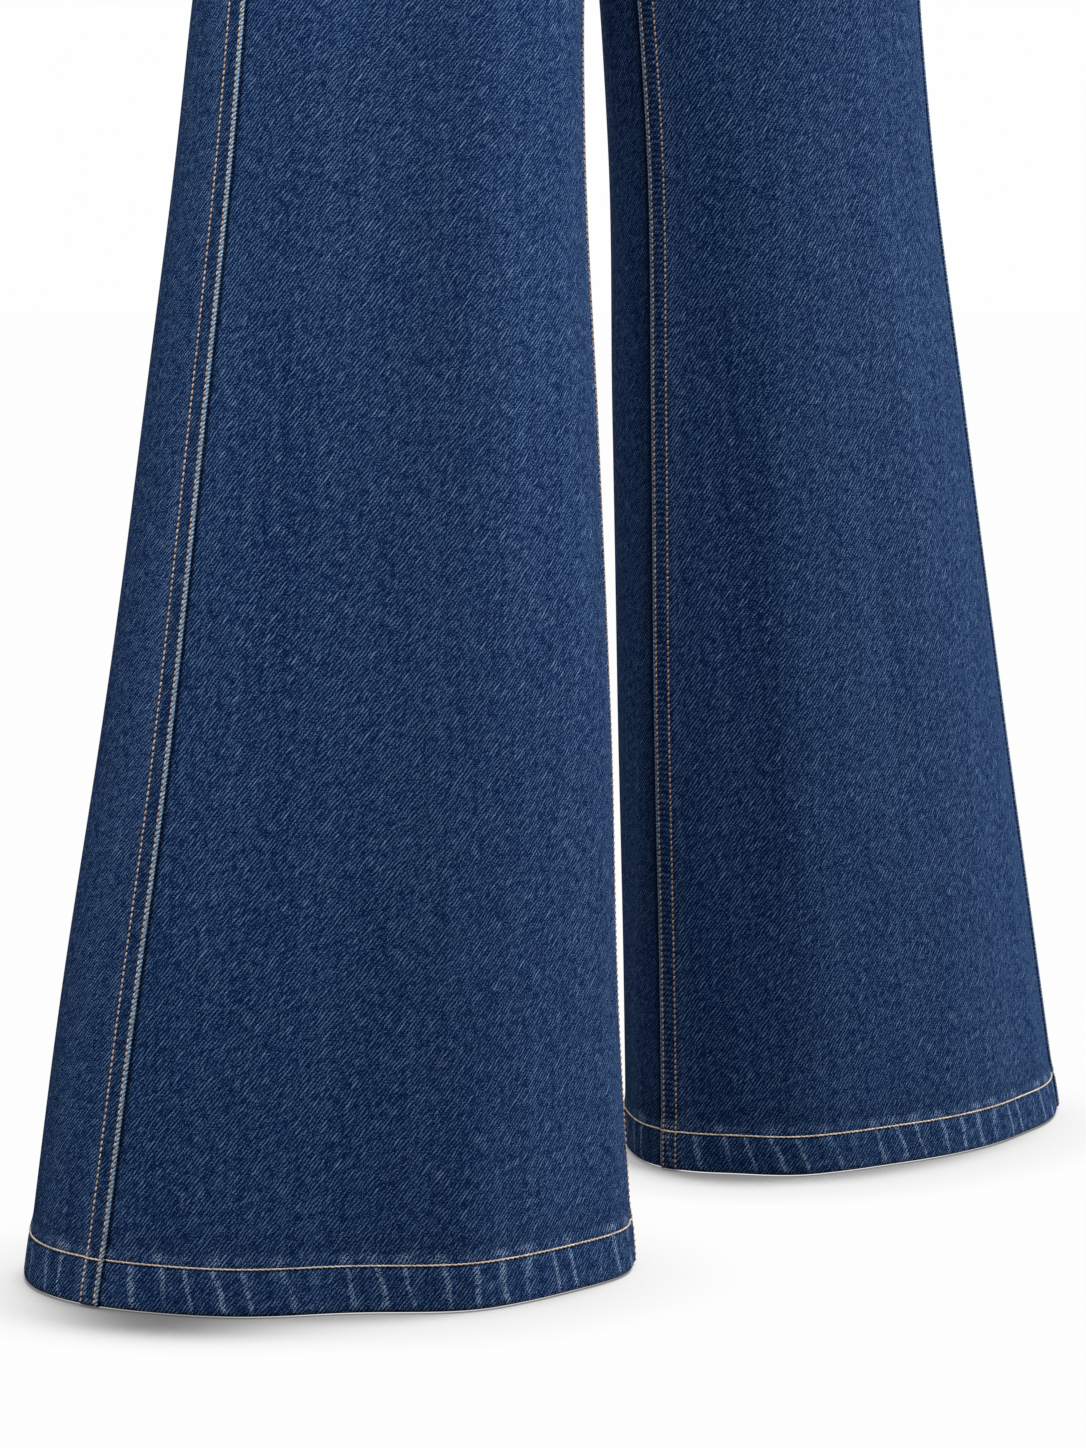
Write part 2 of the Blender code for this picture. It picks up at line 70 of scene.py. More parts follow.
# ---- the cut of one leg: height above the hem edge, and half the oval's width and depth ------
# A row past the crotch, in this table and the next ones, only sets how they run up to it.
LEG_CUT = (
    # height, half_width, half_depth
    (0.000, 0.1620, 0.1015),
    (0.130, 0.1505, 0.0977),
    (0.280, 0.1382, 0.0935),
    (0.450, 0.1235, 0.0874),
    (0.600, 0.1108, 0.0812),
    (0.680, 0.1066, 0.0805),
    (0.750, 0.1040, 0.0875),
    (CROTCH_HEIGHT, 0.1010, 0.0985),
    (0.850, 0.1000, 0.1050),
)

# How each leg stands: its centre, outwards and back from the middle of the body, the turn of
# its oval, and the two seams, in degrees round the oval.  The outseam is counted from the
# outermost point towards the front, the inseam from the innermost point towards the front.
RIGHT_STANCE = (
    # height, outwards, back, turn, outseam, inseam
    (0.000, 0.2153, -0.1207, 18.7, 41.7, 1.0),
    (0.130, 0.2022, -0.1020, 20.1, 44.7, 0.0),
    (0.280, 0.1825, -0.0805, 21.8, 47.0, -1.0),
    (0.450, 0.1625, -0.0560, 23.8, 48.2, -2.2),
    (0.600, 0.1459, -0.0345, 25.4, 49.4, -3.5),
    (0.700, 0.1322, -0.0180, 24.5, 48.0, -4.0),
    (0.760, 0.1175, -0.0055, 15.0, 38.0, -2.5),
    (CROTCH_HEIGHT, 0.1010, 0.0060, 2.0, 22.0, 0.0),
    (0.860, 0.0910, 0.0090, 0.0, 18.0, 0.0),
)
LEFT_STANCE = (
    # height, outwards, back, turn, outseam, inseam
    (0.000, 0.2105, 0.0673, 18.7, 34.0, 1.0),
    (0.130, 0.1924, 0.0569, 20.1, 36.0, 0.0),
    (0.280, 0.1707, 0.0449, 21.8, 38.0, -1.0),
    (0.450, 0.1477, 0.0313, 23.8, 41.0, -2.2),
    (0.600, 0.1276, 0.0192, 25.4, 44.0, -3.5),
    (0.700, 0.1153, 0.0135, 24.5, 43.5, -4.0),
    (0.760, 0.1080, 0.0095, 15.0, 36.0, -2.5),
    (CROTCH_HEIGHT, 0.1010, 0.0060, 2.0, 22.0, 0.0),
    (0.860, 0.0910, 0.0090, 0.0, 18.0, 0.0),
)

# Above the crotch each half of the body is an oval cut off at the middle plane.  Its reach is
# how far its centre stands from that plane, as a share of half its width.
BODY_CUT = (
    # height, side, reach, half_depth, back, turn, outseam
    (0.780, 0.2120, 1.00, 0.0925, 0.004, 10.0, 32.0),
    (CROTCH_HEIGHT, 0.2020, 1.00, 0.0985, 0.006, 2.0, 22.0),
    (0.840, 0.1983, 0.87, 0.1035, 0.008, 0.6, 19.0),
    (0.870, 0.1940, 0.64, 0.1095, 0.010, 0.0, 16.5),
    (0.900, 0.1900, 0.43, 0.1145, 0.012, 0.0, 15.0),
    (0.940, 0.1830, 0.22, 0.1165, 0.011, 0.0, 14.0),
    (0.980, 0.1720, 0.09, 0.1130, 0.008, 0.0, 14.0),
    (1.020, 0.1580, 0.00, 0.1060, 0.004, 0.0, 14.0),
    (BAND_FOOT, 0.1420, 0.00, 0.0980, 0.000, 0.0, 14.0),
    (1.104, 0.1340, 0.00, 0.0940, 0.000, 0.0, 14.0),
)

# Soft troughs and ridges of the hanging cloth, deepest at the hem and gone at their top. One
# that leans moves round the leg by so many degrees for each metre up.
RIGHT_FOLDS = (
    # angle, lean, spread, depth, top
    (70.0, 0.0, 11.0, 0.0016, 0.62),
    (91.0, -34.0, 10.0, -0.0042, 0.72),
    (113.0, -26.0, 11.0, 0.0050, 0.80),
    (141.0, 0.0, 12.0, -0.0026, 0.72),
    (165.0, 0.0, 10.0, 0.0018, 0.56),
    (212.0, 0.0, 12.0, -0.0040, 0.55),
    (247.0, 8.0, 13.0, 0.0030, 0.66),
    (292.0, 0.0, 14.0, -0.0036, 0.60),
    (338.0, -10.0, 13.0, 0.0026, 0.48),
)
LEFT_FOLDS = (
    # angle, lean, spread, depth, top
    (68.0, 0.0, 11.0, -0.0022, 0.60),
    (110.0, 0.0, 13.0, -0.0028, 0.76),
    (137.0, 0.0, 10.0, 0.0026, 0.60),
    (155.0, -6.0, 9.0, -0.0020, 0.74),
    (178.0, 0.0, 12.0, 0.0032, 0.76),
    (205.0, 0.0, 12.0, -0.0024, 0.60),
    (243.0, -8.0, 12.0, -0.0038, 0.64),
    (285.0, 0.0, 14.0, 0.0030, 0.56),
    (330.0, 10.0, 12.0, -0.0030, 0.60),
)

# ---- finer creases of the cloth: where across the panel, where up the leg, and how deep --------
# share is counted from the panel's first edge; lean is how far the crease moves over per metre up.
FRONT_CREASES = {
    -1: (
        # share, height, width, length, depth, lean
        (0.30, 0.52, 0.016, 0.26, 0.0012, 0.05),
        (0.34, 0.34, 0.014, 0.22, -0.0009, 0.10),
        (0.66, 0.12, 0.013, 0.12, 0.0010, -0.10),
        (0.80, 0.42, 0.015, 0.22, 0.0011, 0.02),
        (0.90, 0.17, 0.010, 0.10, -0.0009, 0.12),
        (0.18, 0.22, 0.014, 0.18, 0.0009, 0.08),
        (0.42, 0.80, 0.018, 0.10, -0.0020, 0.35),
        (0.62, 0.77, 0.016, 0.09, 0.0018, 0.40),
        (0.86, 0.84, 0.012, 0.05, -0.0022, -0.60),
        (0.78, 0.88, 0.012, 0.05, -0.0018, -0.70),
    ),
    1: (
        (0.74, 0.40, 0.014, 0.30, 0.0010, -0.03),
        (0.50, 0.30, 0.013, 0.20, -0.0009, 0.06),
        (0.36, 0.48, 0.016, 0.26, 0.0012, 0.03),
        (0.22, 0.16, 0.012, 0.13, -0.0010, 0.06),
        (0.88, 0.13, 0.009, 0.10, 0.0008, -0.05),
        (0.45, 0.79, 0.018, 0.10, -0.0020, -0.30),
        (0.60, 0.74, 0.015, 0.08, 0.0016, -0.35),
        (0.86, 0.84, 0.012, 0.05, -0.0022, -0.60),
        (0.78, 0.88, 0.012, 0.05, -0.0018, -0.70),
    ),
}
BACK_CREASES = {
    -1: (
        # share, height, width, length, depth, lean
        (0.12, 0.36, 0.014, 0.22, -0.0012, 0.03),
        (0.28, 0.52, 0.018, 0.18, 0.0014, 0.20),
        (0.46, 0.22, 0.018, 0.28, -0.0016, 0.02),
        (0.60, 0.60, 0.018, 0.12, -0.0018, 0.45),
        (0.66, 0.14, 0.013, 0.14, 0.0011, -0.05),
        (0.82, 0.34, 0.015, 0.24, -0.0012, 0.03),
        (0.24, 0.76, 0.012, 0.06, -0.0026, 0.80),
        (0.34, 0.73, 0.012, 0.06, -0.0022, 0.90),
    ),
    1: (
        (0.14, 0.30, 0.014, 0.24, -0.0012, 0.02),
        (0.34, 0.48, 0.018, 0.20, 0.0014, 0.18),
        (0.50, 0.18, 0.018, 0.24, -0.0016, -0.02),
        (0.56, 0.62, 0.018, 0.12, -0.0018, 0.40),
        (0.72, 0.12, 0.013, 0.12, 0.0011, 0.05),
        (0.86, 0.40, 0.015, 0.26, -0.0012, 0.04),
        (0.24, 0.76, 0.012, 0.06, -0.0026, 0.80),
        (0.34, 0.73, 0.012, 0.06, -0.0022, 0.90),
    ),
}

# Broad bands of painted shade, where the legs and their soft folds shade the cloth, in the same
# columns with how dark they are for depth: first those of the front panels, then those of the
# back ones.
PAINTED_SHADE_BANDS = (
    {-1: ((0.485, 0.50, 0.028, 0.62, 0.20, -0.03), (0.60, 0.16, 0.032, 0.26, 0.12, 0.0)),
     1: ((0.97, 0.40, 0.020, 0.80, 0.12, 0.0),)},
    {-1: (), 1: ((0.00, 0.36, 0.017, 0.90, 0.62, 0.0),)},
)

# Cross section of a felled seam: distance from its folded edge, and height over the panel.
LAP_PROFILE = (
    # from_edge, raised
    (0.0000, 0.0004), (0.0002, 0.0012), (0.0006, 0.0018), (0.0011, 0.0021), (0.0016, 0.0019),
    (0.0020, 0.0014), (0.0024, 0.0011), (0.0029, 0.0013), (0.0040, 0.0015), (0.0060, 0.0015),
    (0.0080, 0.0015), (0.0098, 0.0014), (0.0106, 0.0012), (0.0110, 0.0009), (0.0114, 0.0010),
    (0.0120, 0.0009), (0.0128, 0.0004), (0.0138, 0.0000),
)
SEAM_ROWS = (0.0024, 0.0110)    # its two rows of stitches, from the folded edge

# Cross section of the hem: height above its edge, and how far it stands out of the panel.
HEM_PROFILE = (
    # height, out
    (0.0000, -0.0006), (0.0003, 0.0001), (0.0009, 0.0008), (0.0018, 0.0012), (0.0035, 0.0014),
    (0.0080, 0.0014), (0.0140, 0.0013), (0.0190, 0.0012), (0.0218, 0.0009), (0.0230, 0.0005),
    (0.0240, 0.0004), (0.0250, 0.0006), (0.0262, 0.0007), (0.0285, 0.0003), (0.0330, 0.0000),
)


# ---- curves through the tables -----------------------------------------------------------------
class Curve:
    """A smooth curve through one column of a table, with no overshoot between its rows."""

    def __init__(self, rows, column):
        self.x = np.array([row[0] for row in rows])
        self.y = np.array([row[column] for row in rows])
        step = np.diff(self.x)
        rise = np.diff(self.y) / step
        slope = np.zeros(len(self.x))
        slope[0], slope[-1] = rise[0], rise[-1]
        for i in range(1, len(rise)):
            if rise[i - 1] * rise[i] > 0.0:
                before = 2.0 * step[i] + step[i - 1]
                after = step[i] + 2.0 * step[i - 1]
                slope[i] = (before + after) / (before / rise[i - 1] + after / rise[i])
        self.slope = slope

    def __call__(self, at):
        at = np.clip(np.asarray(at, float), self.x[0], self.x[-1])
        i = np.minimum(np.searchsorted(self.x, at, side="right") - 1, len(self.x) - 2)
        step = self.x[i + 1] - self.x[i]
        t = (at - self.x[i]) / step
        return (self.y[i] * (1 + 2 * t) * (1 - t) ** 2
                + self.y[i + 1] * t * t * (3 - 2 * t)
                + step * t * (1 - t) * (self.slope[i] * (1 - t) - self.slope[i + 1] * t))


LEG = {name: Curve(LEG_CUT, i) for i, name in enumerate(("height", "half_width", "half_depth"))}
BODY_COLUMNS = ("height", "side", "reach", "half_depth", "back", "turn", "outseam")
BODY = {name: Curve(BODY_CUT, i) for i, name in enumerate(BODY_COLUMNS)}
STANCE_COLUMNS = ("height", "outwards", "back", "turn", "outseam", "inseam")
STANCE = {
    -1: {name: Curve(RIGHT_STANCE, i) for i, name in enumerate(STANCE_COLUMNS)},
    1: {name: Curve(LEFT_STANCE, i) for i, name in enumerate(STANCE_COLUMNS)},
}
FOLDS = {-1: RIGHT_FOLDS, 1: LEFT_FOLDS}
LAP = Curve(LAP_PROFILE, 1)
HEM = Curve(HEM_PROFILE, 1)


def smoothstep(value):
    value = np.clip(value, 0.0, 1.0)
    return value * value * (3.0 - 2.0 * value)


def bump(distance, width):
    return np.exp(-(distance / width) ** 2)


def powered(value, power):
    return np.sign(value) * np.abs(value) ** power


def oval(side, height):
    """Centre outwards and back, half width, half depth and turn of the section at heights."""
    stance = STANCE[side]
    low = height < CROTCH_HEIGHT
    reach = BODY["reach"](height)
    half = BODY["side"](height) / (1.0 + reach)
    return (np.where(low, stance["outwards"](height), reach * half),
            np.where(low, stance["back"](height), BODY["back"](height)),
            np.where(low, LEG["half_width"](height), half),
            np.where(low, LEG["half_depth"](height), BODY["half_depth"](height)),
            np.radians(np.where(low, stance["turn"](height), BODY["turn"](height))))


def fold_depth(side, height, angle):
    total = 0.0
    for centre, lean, spread, depth, top in FOLDS[side]:
        away = (angle - centre - lean * height + 180.0) % 360.0 - 180.0
        total = total + depth * smoothstep(1.0 - height / top) * bump(away, spread)
    return total


def skin(side, height, angle, out=0.0):
    """Points of the form at heights and angles round it, moved out of the surface."""
    height, angle, out = np.broadcast_arrays(*(np.asarray(v, float) for v in (height, angle, out)))
    centre, back, half_width, half_depth, turn = oval(side, height)
    radians = np.radians(angle)
    across = powered(np.cos(radians), 2.0 / ROUNDNESS)
    ahead = powered(np.sin(radians), 2.0 / ROUNDNESS)
    slope_across = powered(across, ROUNDNESS - 1.0) / half_width
    slope_ahead = powered(ahead, ROUNDNESS - 1.0) / half_depth
    steepness = np.hypot(slope_across, slope_ahead)
    out = out + fold_depth(side, height, angle)
    across = across * half_width + out * slope_across / steepness
    ahead = ahead * half_depth + out * slope_ahead / steepness
    outwards = centre + across * np.cos(turn) + ahead * np.sin(turn)
    backwards = back + across * np.sin(turn) - ahead * np.cos(turn)
    return np.stack((side * outwards, backwards, height - WAIST_HEIGHT), axis=-1)


def middle_angle(height):
    return np.degrees(np.arccos(np.clip(BODY["reach"](height), 0.0, 1.0) ** (ROUNDNESS / 2.0)))


def outseam(side, height):
    return np.where(height < CROTCH_HEIGHT, STANCE[side]["outseam"](height),
                    BODY["outseam"](height))


def front_edges(side, height):
    inner = np.where(height < CROTCH_HEIGHT, STANCE[side]["inseam"](height),
                     middle_angle(height))
    return outseam(side, height), 180.0 - inner


def back_edges(side, height):
    inner = np.where(height < CROTCH_HEIGHT, -STANCE[side]["inseam"](height),
                     middle_angle(height))
    return 180.0 + inner, 360.0 + outseam(side, height)


ARC_SAMPLES = 180


class Section:
    """Running length along the form at one height, between two angles."""

    def __init__(self, side, height, start, end):
        self.angles = np.linspace(start, end, ARC_SAMPLES + 1)
        self.lengths = runs(skin(side, height, self.angles))
        self.length = self.lengths[-1]

    def angle(self, distance):
        return np.interp(distance, self.lengths, self.angles)


def panel_section(side, edges, height):
    """The section between a panel's two edges at one height."""
    start, end = edges(side, height)
    return Section(side, height, float(start), float(end))


def runs(points):
    """How far each point lies along a path."""
    steps = np.linalg.norm(np.diff(points, axis=0), axis=1)
    return np.concatenate(((0.0,), np.cumsum(steps)))


def rows_of(heights, columns):
    """Each height repeated over a row."""
    return np.repeat(heights[:, None], columns, axis=1)


# ---- shells ------------------------------------------------------------------------------------
def mesh_of(name, shape):
    mesh = bpy.data.meshes.new(name)
    shape.to_mesh(mesh)
    shape.free()
    return mesh


def piece_of(name, data):
    piece = bpy.data.objects.new(name, data)
    bpy.context.scene.collection.objects.link(piece)
    return piece


def lay_shell(name, outer, inner, flat, marks=None, seam=None):
    """A slab whose two faces are laid on rows of outer and inner points.

    flat holds each point's place on the cut cloth, and marks are named shares from 0 to 1, such
    as wear, that the finish reads.  seam holds each point's place beside the felled seam.
    """
    rows, columns = outer.shape[:2]
    shape = bmesh.new()
    bmesh.ops.create_grid(shape, x_segments=columns - 1, y_segments=rows - 1, size=0.5)
    bmesh.ops.solidify(shape, geom=shape.faces[:], thickness=SLAB)
    mesh = mesh_of(name, shape)
    place = np.empty(len(mesh.vertices) * 3)
    mesh.vertices.foreach_get("co", place)
    place = place.reshape(-1, 3)
    column = np.rint((place[:, 0] + 0.5) * (columns - 1)).astype(int)
    row = np.rint((place[:, 1] + 0.5) * (rows - 1)).astype(int)
    inside = np.abs(place[:, 2]) > SLAB / 2
    laid = np.where(inside[:, None], inner[row, column], outer[row, column])
    mesh.vertices.foreach_set("co", laid.ravel())
    shape = bmesh.new()
    shape.from_mesh(mesh)
    if shape.calc_volume(signed=True) < 0.0:
        bmesh.ops.reverse_faces(shape, faces=shape.faces[:])
        shape.to_mesh(mesh)
    shape.free()
    corner = np.empty(len(mesh.loops), dtype=int)
    mesh.loops.foreach_get("vertex_index", corner)
    for layer, places in (("flat", flat), ("seam", seam)):
        if places is not None:
            made = mesh.uv_layers.new(name=layer)
            made.data.foreach_set("uv", places[row, column][corner].ravel())
    for mark, values in (marks or {}).items():
        made = mesh.attributes.new(mark, "FLOAT", "POINT")
        made.data.foreach_set("value", values[row, column].astype(np.float32))
    mesh.shade_smooth()
    mesh.set_sharp_from_angle(angle=math.radians(50.0))
    return piece_of(name, mesh)


def far_from_seams(height):
    """A seam map for a piece that has no felled seam."""
    return np.ones(height.shape + (2,))


def keep_to_side(side, *faces):
    """Stop each face's points just short of the middle plane."""
    for points in faces:
        points[..., 0] = side * np.maximum(side * points[..., 0], EDGE)


def finish(piece, node, shader):
    piece.data.materials.clear()
    piece.data.materials.append(shader)
    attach(piece, "root")
    if node:
        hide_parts(node)
    return piece


# ---- sizes and colours that can be changed ------------------------------------------------------
def size(name, description, default):
    return FloatProperty(name=name, description=description, default=default, min=0.0,
                         soft_max=10.0 * default, precision=5, unit="LENGTH")


def colour(name, description, default):
    return FloatVectorProperty(name=name, description=description, default=default,
                               subtype="COLOR", size=3, min=0.0, max=1.0)


def watts(name, description, default):
    return FloatProperty(name=name, description=description, default=default, min=0.0,
                         max=2000.0, unit="POWER")


class JeansSizes(bpy.types.PropertyGroup):
    cloth: size("Cloth", "Thickness of one layer of denim", 0.0012)
    hem_thickness: size("Hem thickness", "Its three layers, behind the panel's face", 0.0023)
    hem_stitch: size("Hem stitch height", "From the hem edge up to its row of stitches", 0.0236)
    hem_pitch: size("Hem stitch length", "From one stitch of the hem to the next", 0.0030)
    seam_pitch: size("Seam stitch length", "From one stitch of a seam to the next", 0.0034)
    hem_thread: size("Hem thread", "Radius of the hem's thread", 0.00058)
    seam_thread: size("Seam thread", "Radius of the seams' thread", 0.00054)
    pucker_spacing: size("Pucker spacing", "Between the slanting ridges round the hem", 0.0165)


class JeansColours(bpy.types.PropertyGroup):
    deep: colour("Deep indigo", "Valleys of the weave", (0.0008, 0.0108, 0.0680))
    middle: colour("Indigo", "The cloth as a whole", (0.0115, 0.0440, 0.1500))
    pale: colour("Faded indigo", "Tops of the weave", (0.1150, 0.2230, 0.4150))
    worn: colour("Worn edge", "Weft that shows where the cloth is rubbed", (0.320, 0.470, 0.700))
    hem_thread: colour("Hem thread", "Thread of the hems", (0.980, 0.730, 0.590))
    seam_thread: colour("Seam thread", "Thread of the seams", (0.900, 0.660, 0.550))
    # The seam thread painted darker, as painted shade on the inseams between the legs.
    inner_thread: colour("Inseam thread", "Thread of the inseams", (0.620, 0.440, 0.330))
    brass: colour("Brass", "Button and zip teeth", (0.450, 0.280, 0.120))
    tape: colour("Zip tape", "Woven tape of the zip", (0.012, 0.020, 0.050))


class JeansStudio(bpy.types.PropertyGroup):
    lens: FloatProperty(name="Lens", description="Focal length on a 36 mm sensor, in mm",
                        default=99.14, min=10.0, max=400.0)
    camera: FloatVectorProperty(name="Camera", description="Where the camera stands", size=3,
                                default=(-1.0160, -2.0636, -0.5421), subtype="XYZ",
                                unit="LENGTH")
    turn: FloatProperty(name="Camera turn", description="Round the upright axis from the front",
                        default=math.radians(-25.531), subtype="ANGLE")
    dip: FloatProperty(name="Camera dip", description="How far the camera looks down",
                       default=math.radians(6.634), subtype="ANGLE")
    floor_gap: size("Floor gap", "The floor lies this far below the hems", 0.0008)
    contact: size("Contact shadow", "How far the hems darken the floor", 0.075)
    ambient: FloatProperty(name="Ambient light", description="Strength of the light all round",
                           default=0.04, min=0.0, max=4.0)
    right_light: watts("Right light", "Power of the right soft box", 62.0)
    left_light: watts("Left light", "Power of the left soft box", 15.0)
    front_light: watts("Front light", "Power of the high front one", 68.0)
    back_light: watts("Back light", "Power of the one behind", 45.0)


# ---- finishes -----------------------------------------------------------------------------------
class Term:
    """A shader socket, on which Python's operators add Math nodes."""

    def __init__(self, shader, socket):
        self.shader = shader
        self.socket = socket

    def math(self, operation, *others, clamp=False):
        sockets = dict(enumerate((self,) + others))
        return self.shader.term("ShaderNodeMath", {"operation": operation, "use_clamp": clamp},
                                sockets)

    def __add__(self, other):
        return self.math("ADD", other)

    __radd__ = __add__

    def __mul__(self, other):
        return self.math("MULTIPLY", other)

    __rmul__ = __mul__

    def __sub__(self, other):
        return self.math("SUBTRACT", other)

    def __rsub__(self, other):
        return self.shader.term("ShaderNodeMath", {"operation": "SUBTRACT"}, {0: other, 1: self})

    def __truediv__(self, other):
        return self.math("DIVIDE", other)

    def __neg__(self):
        return self * -1.0

    def clamp(self):
        return self.math("ADD", 0.0, clamp=True)

    def sine(self):
        return self.math("SINE")

    def over(self, threshold, gain):
        """0 below the threshold, then rising to 1."""
        return ((self - threshold) * gain).clamp()


class Shader:
    """A material or a world being put together."""

    def __init__(self, block):
        self.block = block
        block.use_nodes = True
        self.tree = block.node_tree
        self.tree.nodes.clear()

    def node(self, kind, settings, sockets):
        made = self.tree.nodes.new(kind)
        for key, value in settings.items():
            if key == "stops":
                ramp = made.color_ramp
                for place, _ in value[2:]:
                    ramp.elements.new(place)
                for element, (place, stop) in zip(ramp.elements, sorted(value)):
                    element.position = place
                    element.color = (*stop, 1.0)
            else:
                setattr(made, key, value)
        for key, value in sockets.items():
            if isinstance(value, Term):
                self.tree.links.new(value.socket, made.inputs[key])
            else:
                made.inputs[key].default_value = value
        return made

    def term(self, kind, settings, sockets, output=0):
        return Term(self, self.node(kind, settings, sockets).outputs[output])

    def mix(self, share, one, other):
        one, other = ((*c, 1.0) if isinstance(c, tuple) else c for c in (one, other))
        return self.term("ShaderNodeMix", {"data_type": "RGBA"}, {0: share, 6: one, 7: other}, 2)

    def noise(self, across, along, detail=1.0, roughness=0.5):
        place = self.term("ShaderNodeCombineXYZ", {}, {0: across, 1: along})
        return self.term("ShaderNodeTexNoise", {"noise_dimensions": "2D"},
                         {"Vector": place, "Scale": 1.0, "Detail": detail,
                          "Roughness": roughness})

    def mark(self, name):
        return self.term("ShaderNodeAttribute", {"attribute_name": name}, {}, "Fac")

    def parts(self, vector):
        """The first two coordinates of a vector."""
        split = self.node("ShaderNodeSeparateXYZ", {}, {0: vector})
        return Term(self, split.outputs[0]), Term(self, split.outputs[1])

    def place(self, layer):
        """The two coordinates of a UV map, in metres."""
        return self.parts(self.term("ShaderNodeUVMap", {"uv_map": layer}, {}))

    def greys(self, stops, value):
        """A ramp of greys, from pairs of place and brightness."""
        return self.term("ShaderNodeValToRGB",
                         {"stops": [(place, (grey,) * 3) for place, grey in stops]}, {0: value})

    def surface(self, sockets):
        shader = self.term("ShaderNodeBsdfPrincipled", {}, sockets)
        self.node("ShaderNodeOutputMaterial", {}, {0: shader})
        return self.block


TWILL = 589.0               # diagonal ribs of the weave, per metre across them
TWILL_SLOPE = math.radians(52.0)
ROPE_PITCH = 0.0022         # slanting strokes along a felled seam's folded edge
ROPE_HOLLOW, ROPE_TOP = (0.060, 0.170, 0.400), (0.660, 0.880, 1.000)
LAP_WALL = (0.0020, 0.0050, 0.0160)     # the side of the lap, in painted shade
# the colour towards which painted shade darkens the cloth
INDIGO_PAINTED_SHADE = (0.0008, 0.0035, 0.0150)


def denim(name, colours, sizes):
    """Washed indigo twill: diagonal ribs, broken by flecks, slubs and soft upright fades."""
    s = Shader(bpy.data.materials.new(name))
    u, v = s.place("flat")
    across = u * math.sin(TWILL_SLOPE) - v * math.cos(TWILL_SLOPE)
    along = u * math.cos(TWILL_SLOPE) + v * math.sin(TWILL_SLOPE)
    wander = s.noise(u * 150.0, v * 110.0, 1.0)
    ribs = (across * (TWILL * math.tau) + wander * 6.0).sine() * 0.5 + 0.5
    strokes = s.noise(across * 900.0, along * 210.0, 1.0) - 0.5
    grain = s.noise(u * 1500.0, v * 1300.0, 1.0) - 0.5
    slubs = s.noise(u * 170.0, v * 9.0, 2.0) - 0.5
    fades = s.noise(u * 26.0, v * 1.6, 1.0) - 0.5
    clouds = s.noise(u * 60.0, v * 42.0, 3.0, 0.6) - 0.5
    flecks = s.noise(across * 760.0, along * 110.0, 1.0).over(0.66, 9.0)
    weave = (ribs - 0.5) * 0.66 + strokes * (ribs * 1.6 + 0.3) + grain * 2.2
    level = weave + slubs * 0.22 + fades * 0.20 + clouds * 0.11 + 0.39 + flecks * ribs * 0.6
    cloth = s.term("ShaderNodeValToRGB",
                   {"stops": [(0.0, tuple(colours.deep)), (1.0, tuple(colours.pale)),
                              (0.5, tuple(colours.middle))]}, {0: level})
    leaning = (u + v * 0.20) / sizes.pucker_spacing
    pucker = (leaning * math.tau + s.noise(leaning * 0.9, v * 22.0) * 5.0).sine()
    uneven = s.noise(leaning * 0.7 + 40.0, v * 30.0)
    ridge = pucker.over(0.70, 3.6) * uneven.over(0.22, 3.0) * s.mark("hem")
    hollow = (-pucker).clamp() * uneven * s.mark("hem")
    fuzz = s.mark("fuzz") * (pucker * 0.45 + 0.5) * uneven.over(0.30, 3.0)
    rubbed = ((s.mark("wear") + ridge * 0.75 + fuzz * 0.8) * (weave * 2.3 + 0.50)
              + flecks * ribs * 0.42).clamp()
    cloth = s.mix(rubbed, cloth, tuple(colours.worn))
    edge, run = s.place("seam")
    rope = ((run * (math.tau / ROPE_PITCH) + edge * 2600.0 + wander * 4.0).sine() * 0.5 + 0.5
            + strokes * 0.8)
    lap_top = edge.over(0.0001, 4500.0)
    cloth = s.mix(s.mark("ridge") * lap_top, cloth, s.mix(rope.clamp(), ROPE_HOLLOW, ROPE_TOP))
    cloth = s.mix(s.mark("ridge") * (1.0 - lap_top), cloth, LAP_WALL)
    # Painted shade: the shade mark, the hollows between the hem's puckers and the troughs of the
    # ladder between a seam's two rows, which also go into the relief.
    ladder = (run * (math.tau / sizes.seam_pitch)).sine() * s.mark("band")
    cloth = s.mix((s.mark("shade") + hollow * 0.30 + ladder).clamp(), cloth, INDIGO_PAINTED_SHADE)
    relief = weave + rope * s.mark("ridge") + (ridge - hollow) * 1.6 - ladder * 3.0
    normal = s.term("ShaderNodeBump", {}, {"Strength": 0.55, "Distance": 0.0004,
                                           "Height": relief})
    return s.surface({"Base Color": cloth, "Roughness": 0.90, "Specular IOR Level": 0.07,
                      "Normal": normal})


def twisted_thread(name, tint):
    """Tan thread, its tone uneven from stitch to stitch."""
    s = Shader(bpy.data.materials.new(name))
    place = s.term("ShaderNodeTexCoord", {}, {}, "Object")
    tone = s.term("ShaderNodeTexNoise", {}, {"Vector": place, "Scale": 260.0, "Detail": 1.0})
    fibre = s.term("ShaderNodeTexNoise", {}, {"Vector": place, "Scale": 1900.0, "Detail": 1.0})
    dark = tuple(0.42 * c for c in tint)
    light = tuple(min(1.18 * c, 1.0) for c in tint)
    mixed = s.mix(((tone - 0.5) * 1.6 + (fibre - 0.5) * 1.3 + 0.62).clamp(), dark, light)
    normal = s.term("ShaderNodeBump", {}, {"Strength": 0.5, "Distance": 0.0002, "Height": fibre})
    return s.surface({"Base Color": mixed, "Roughness": 0.62, "Specular IOR Level": 0.3,
                      "Normal": normal})


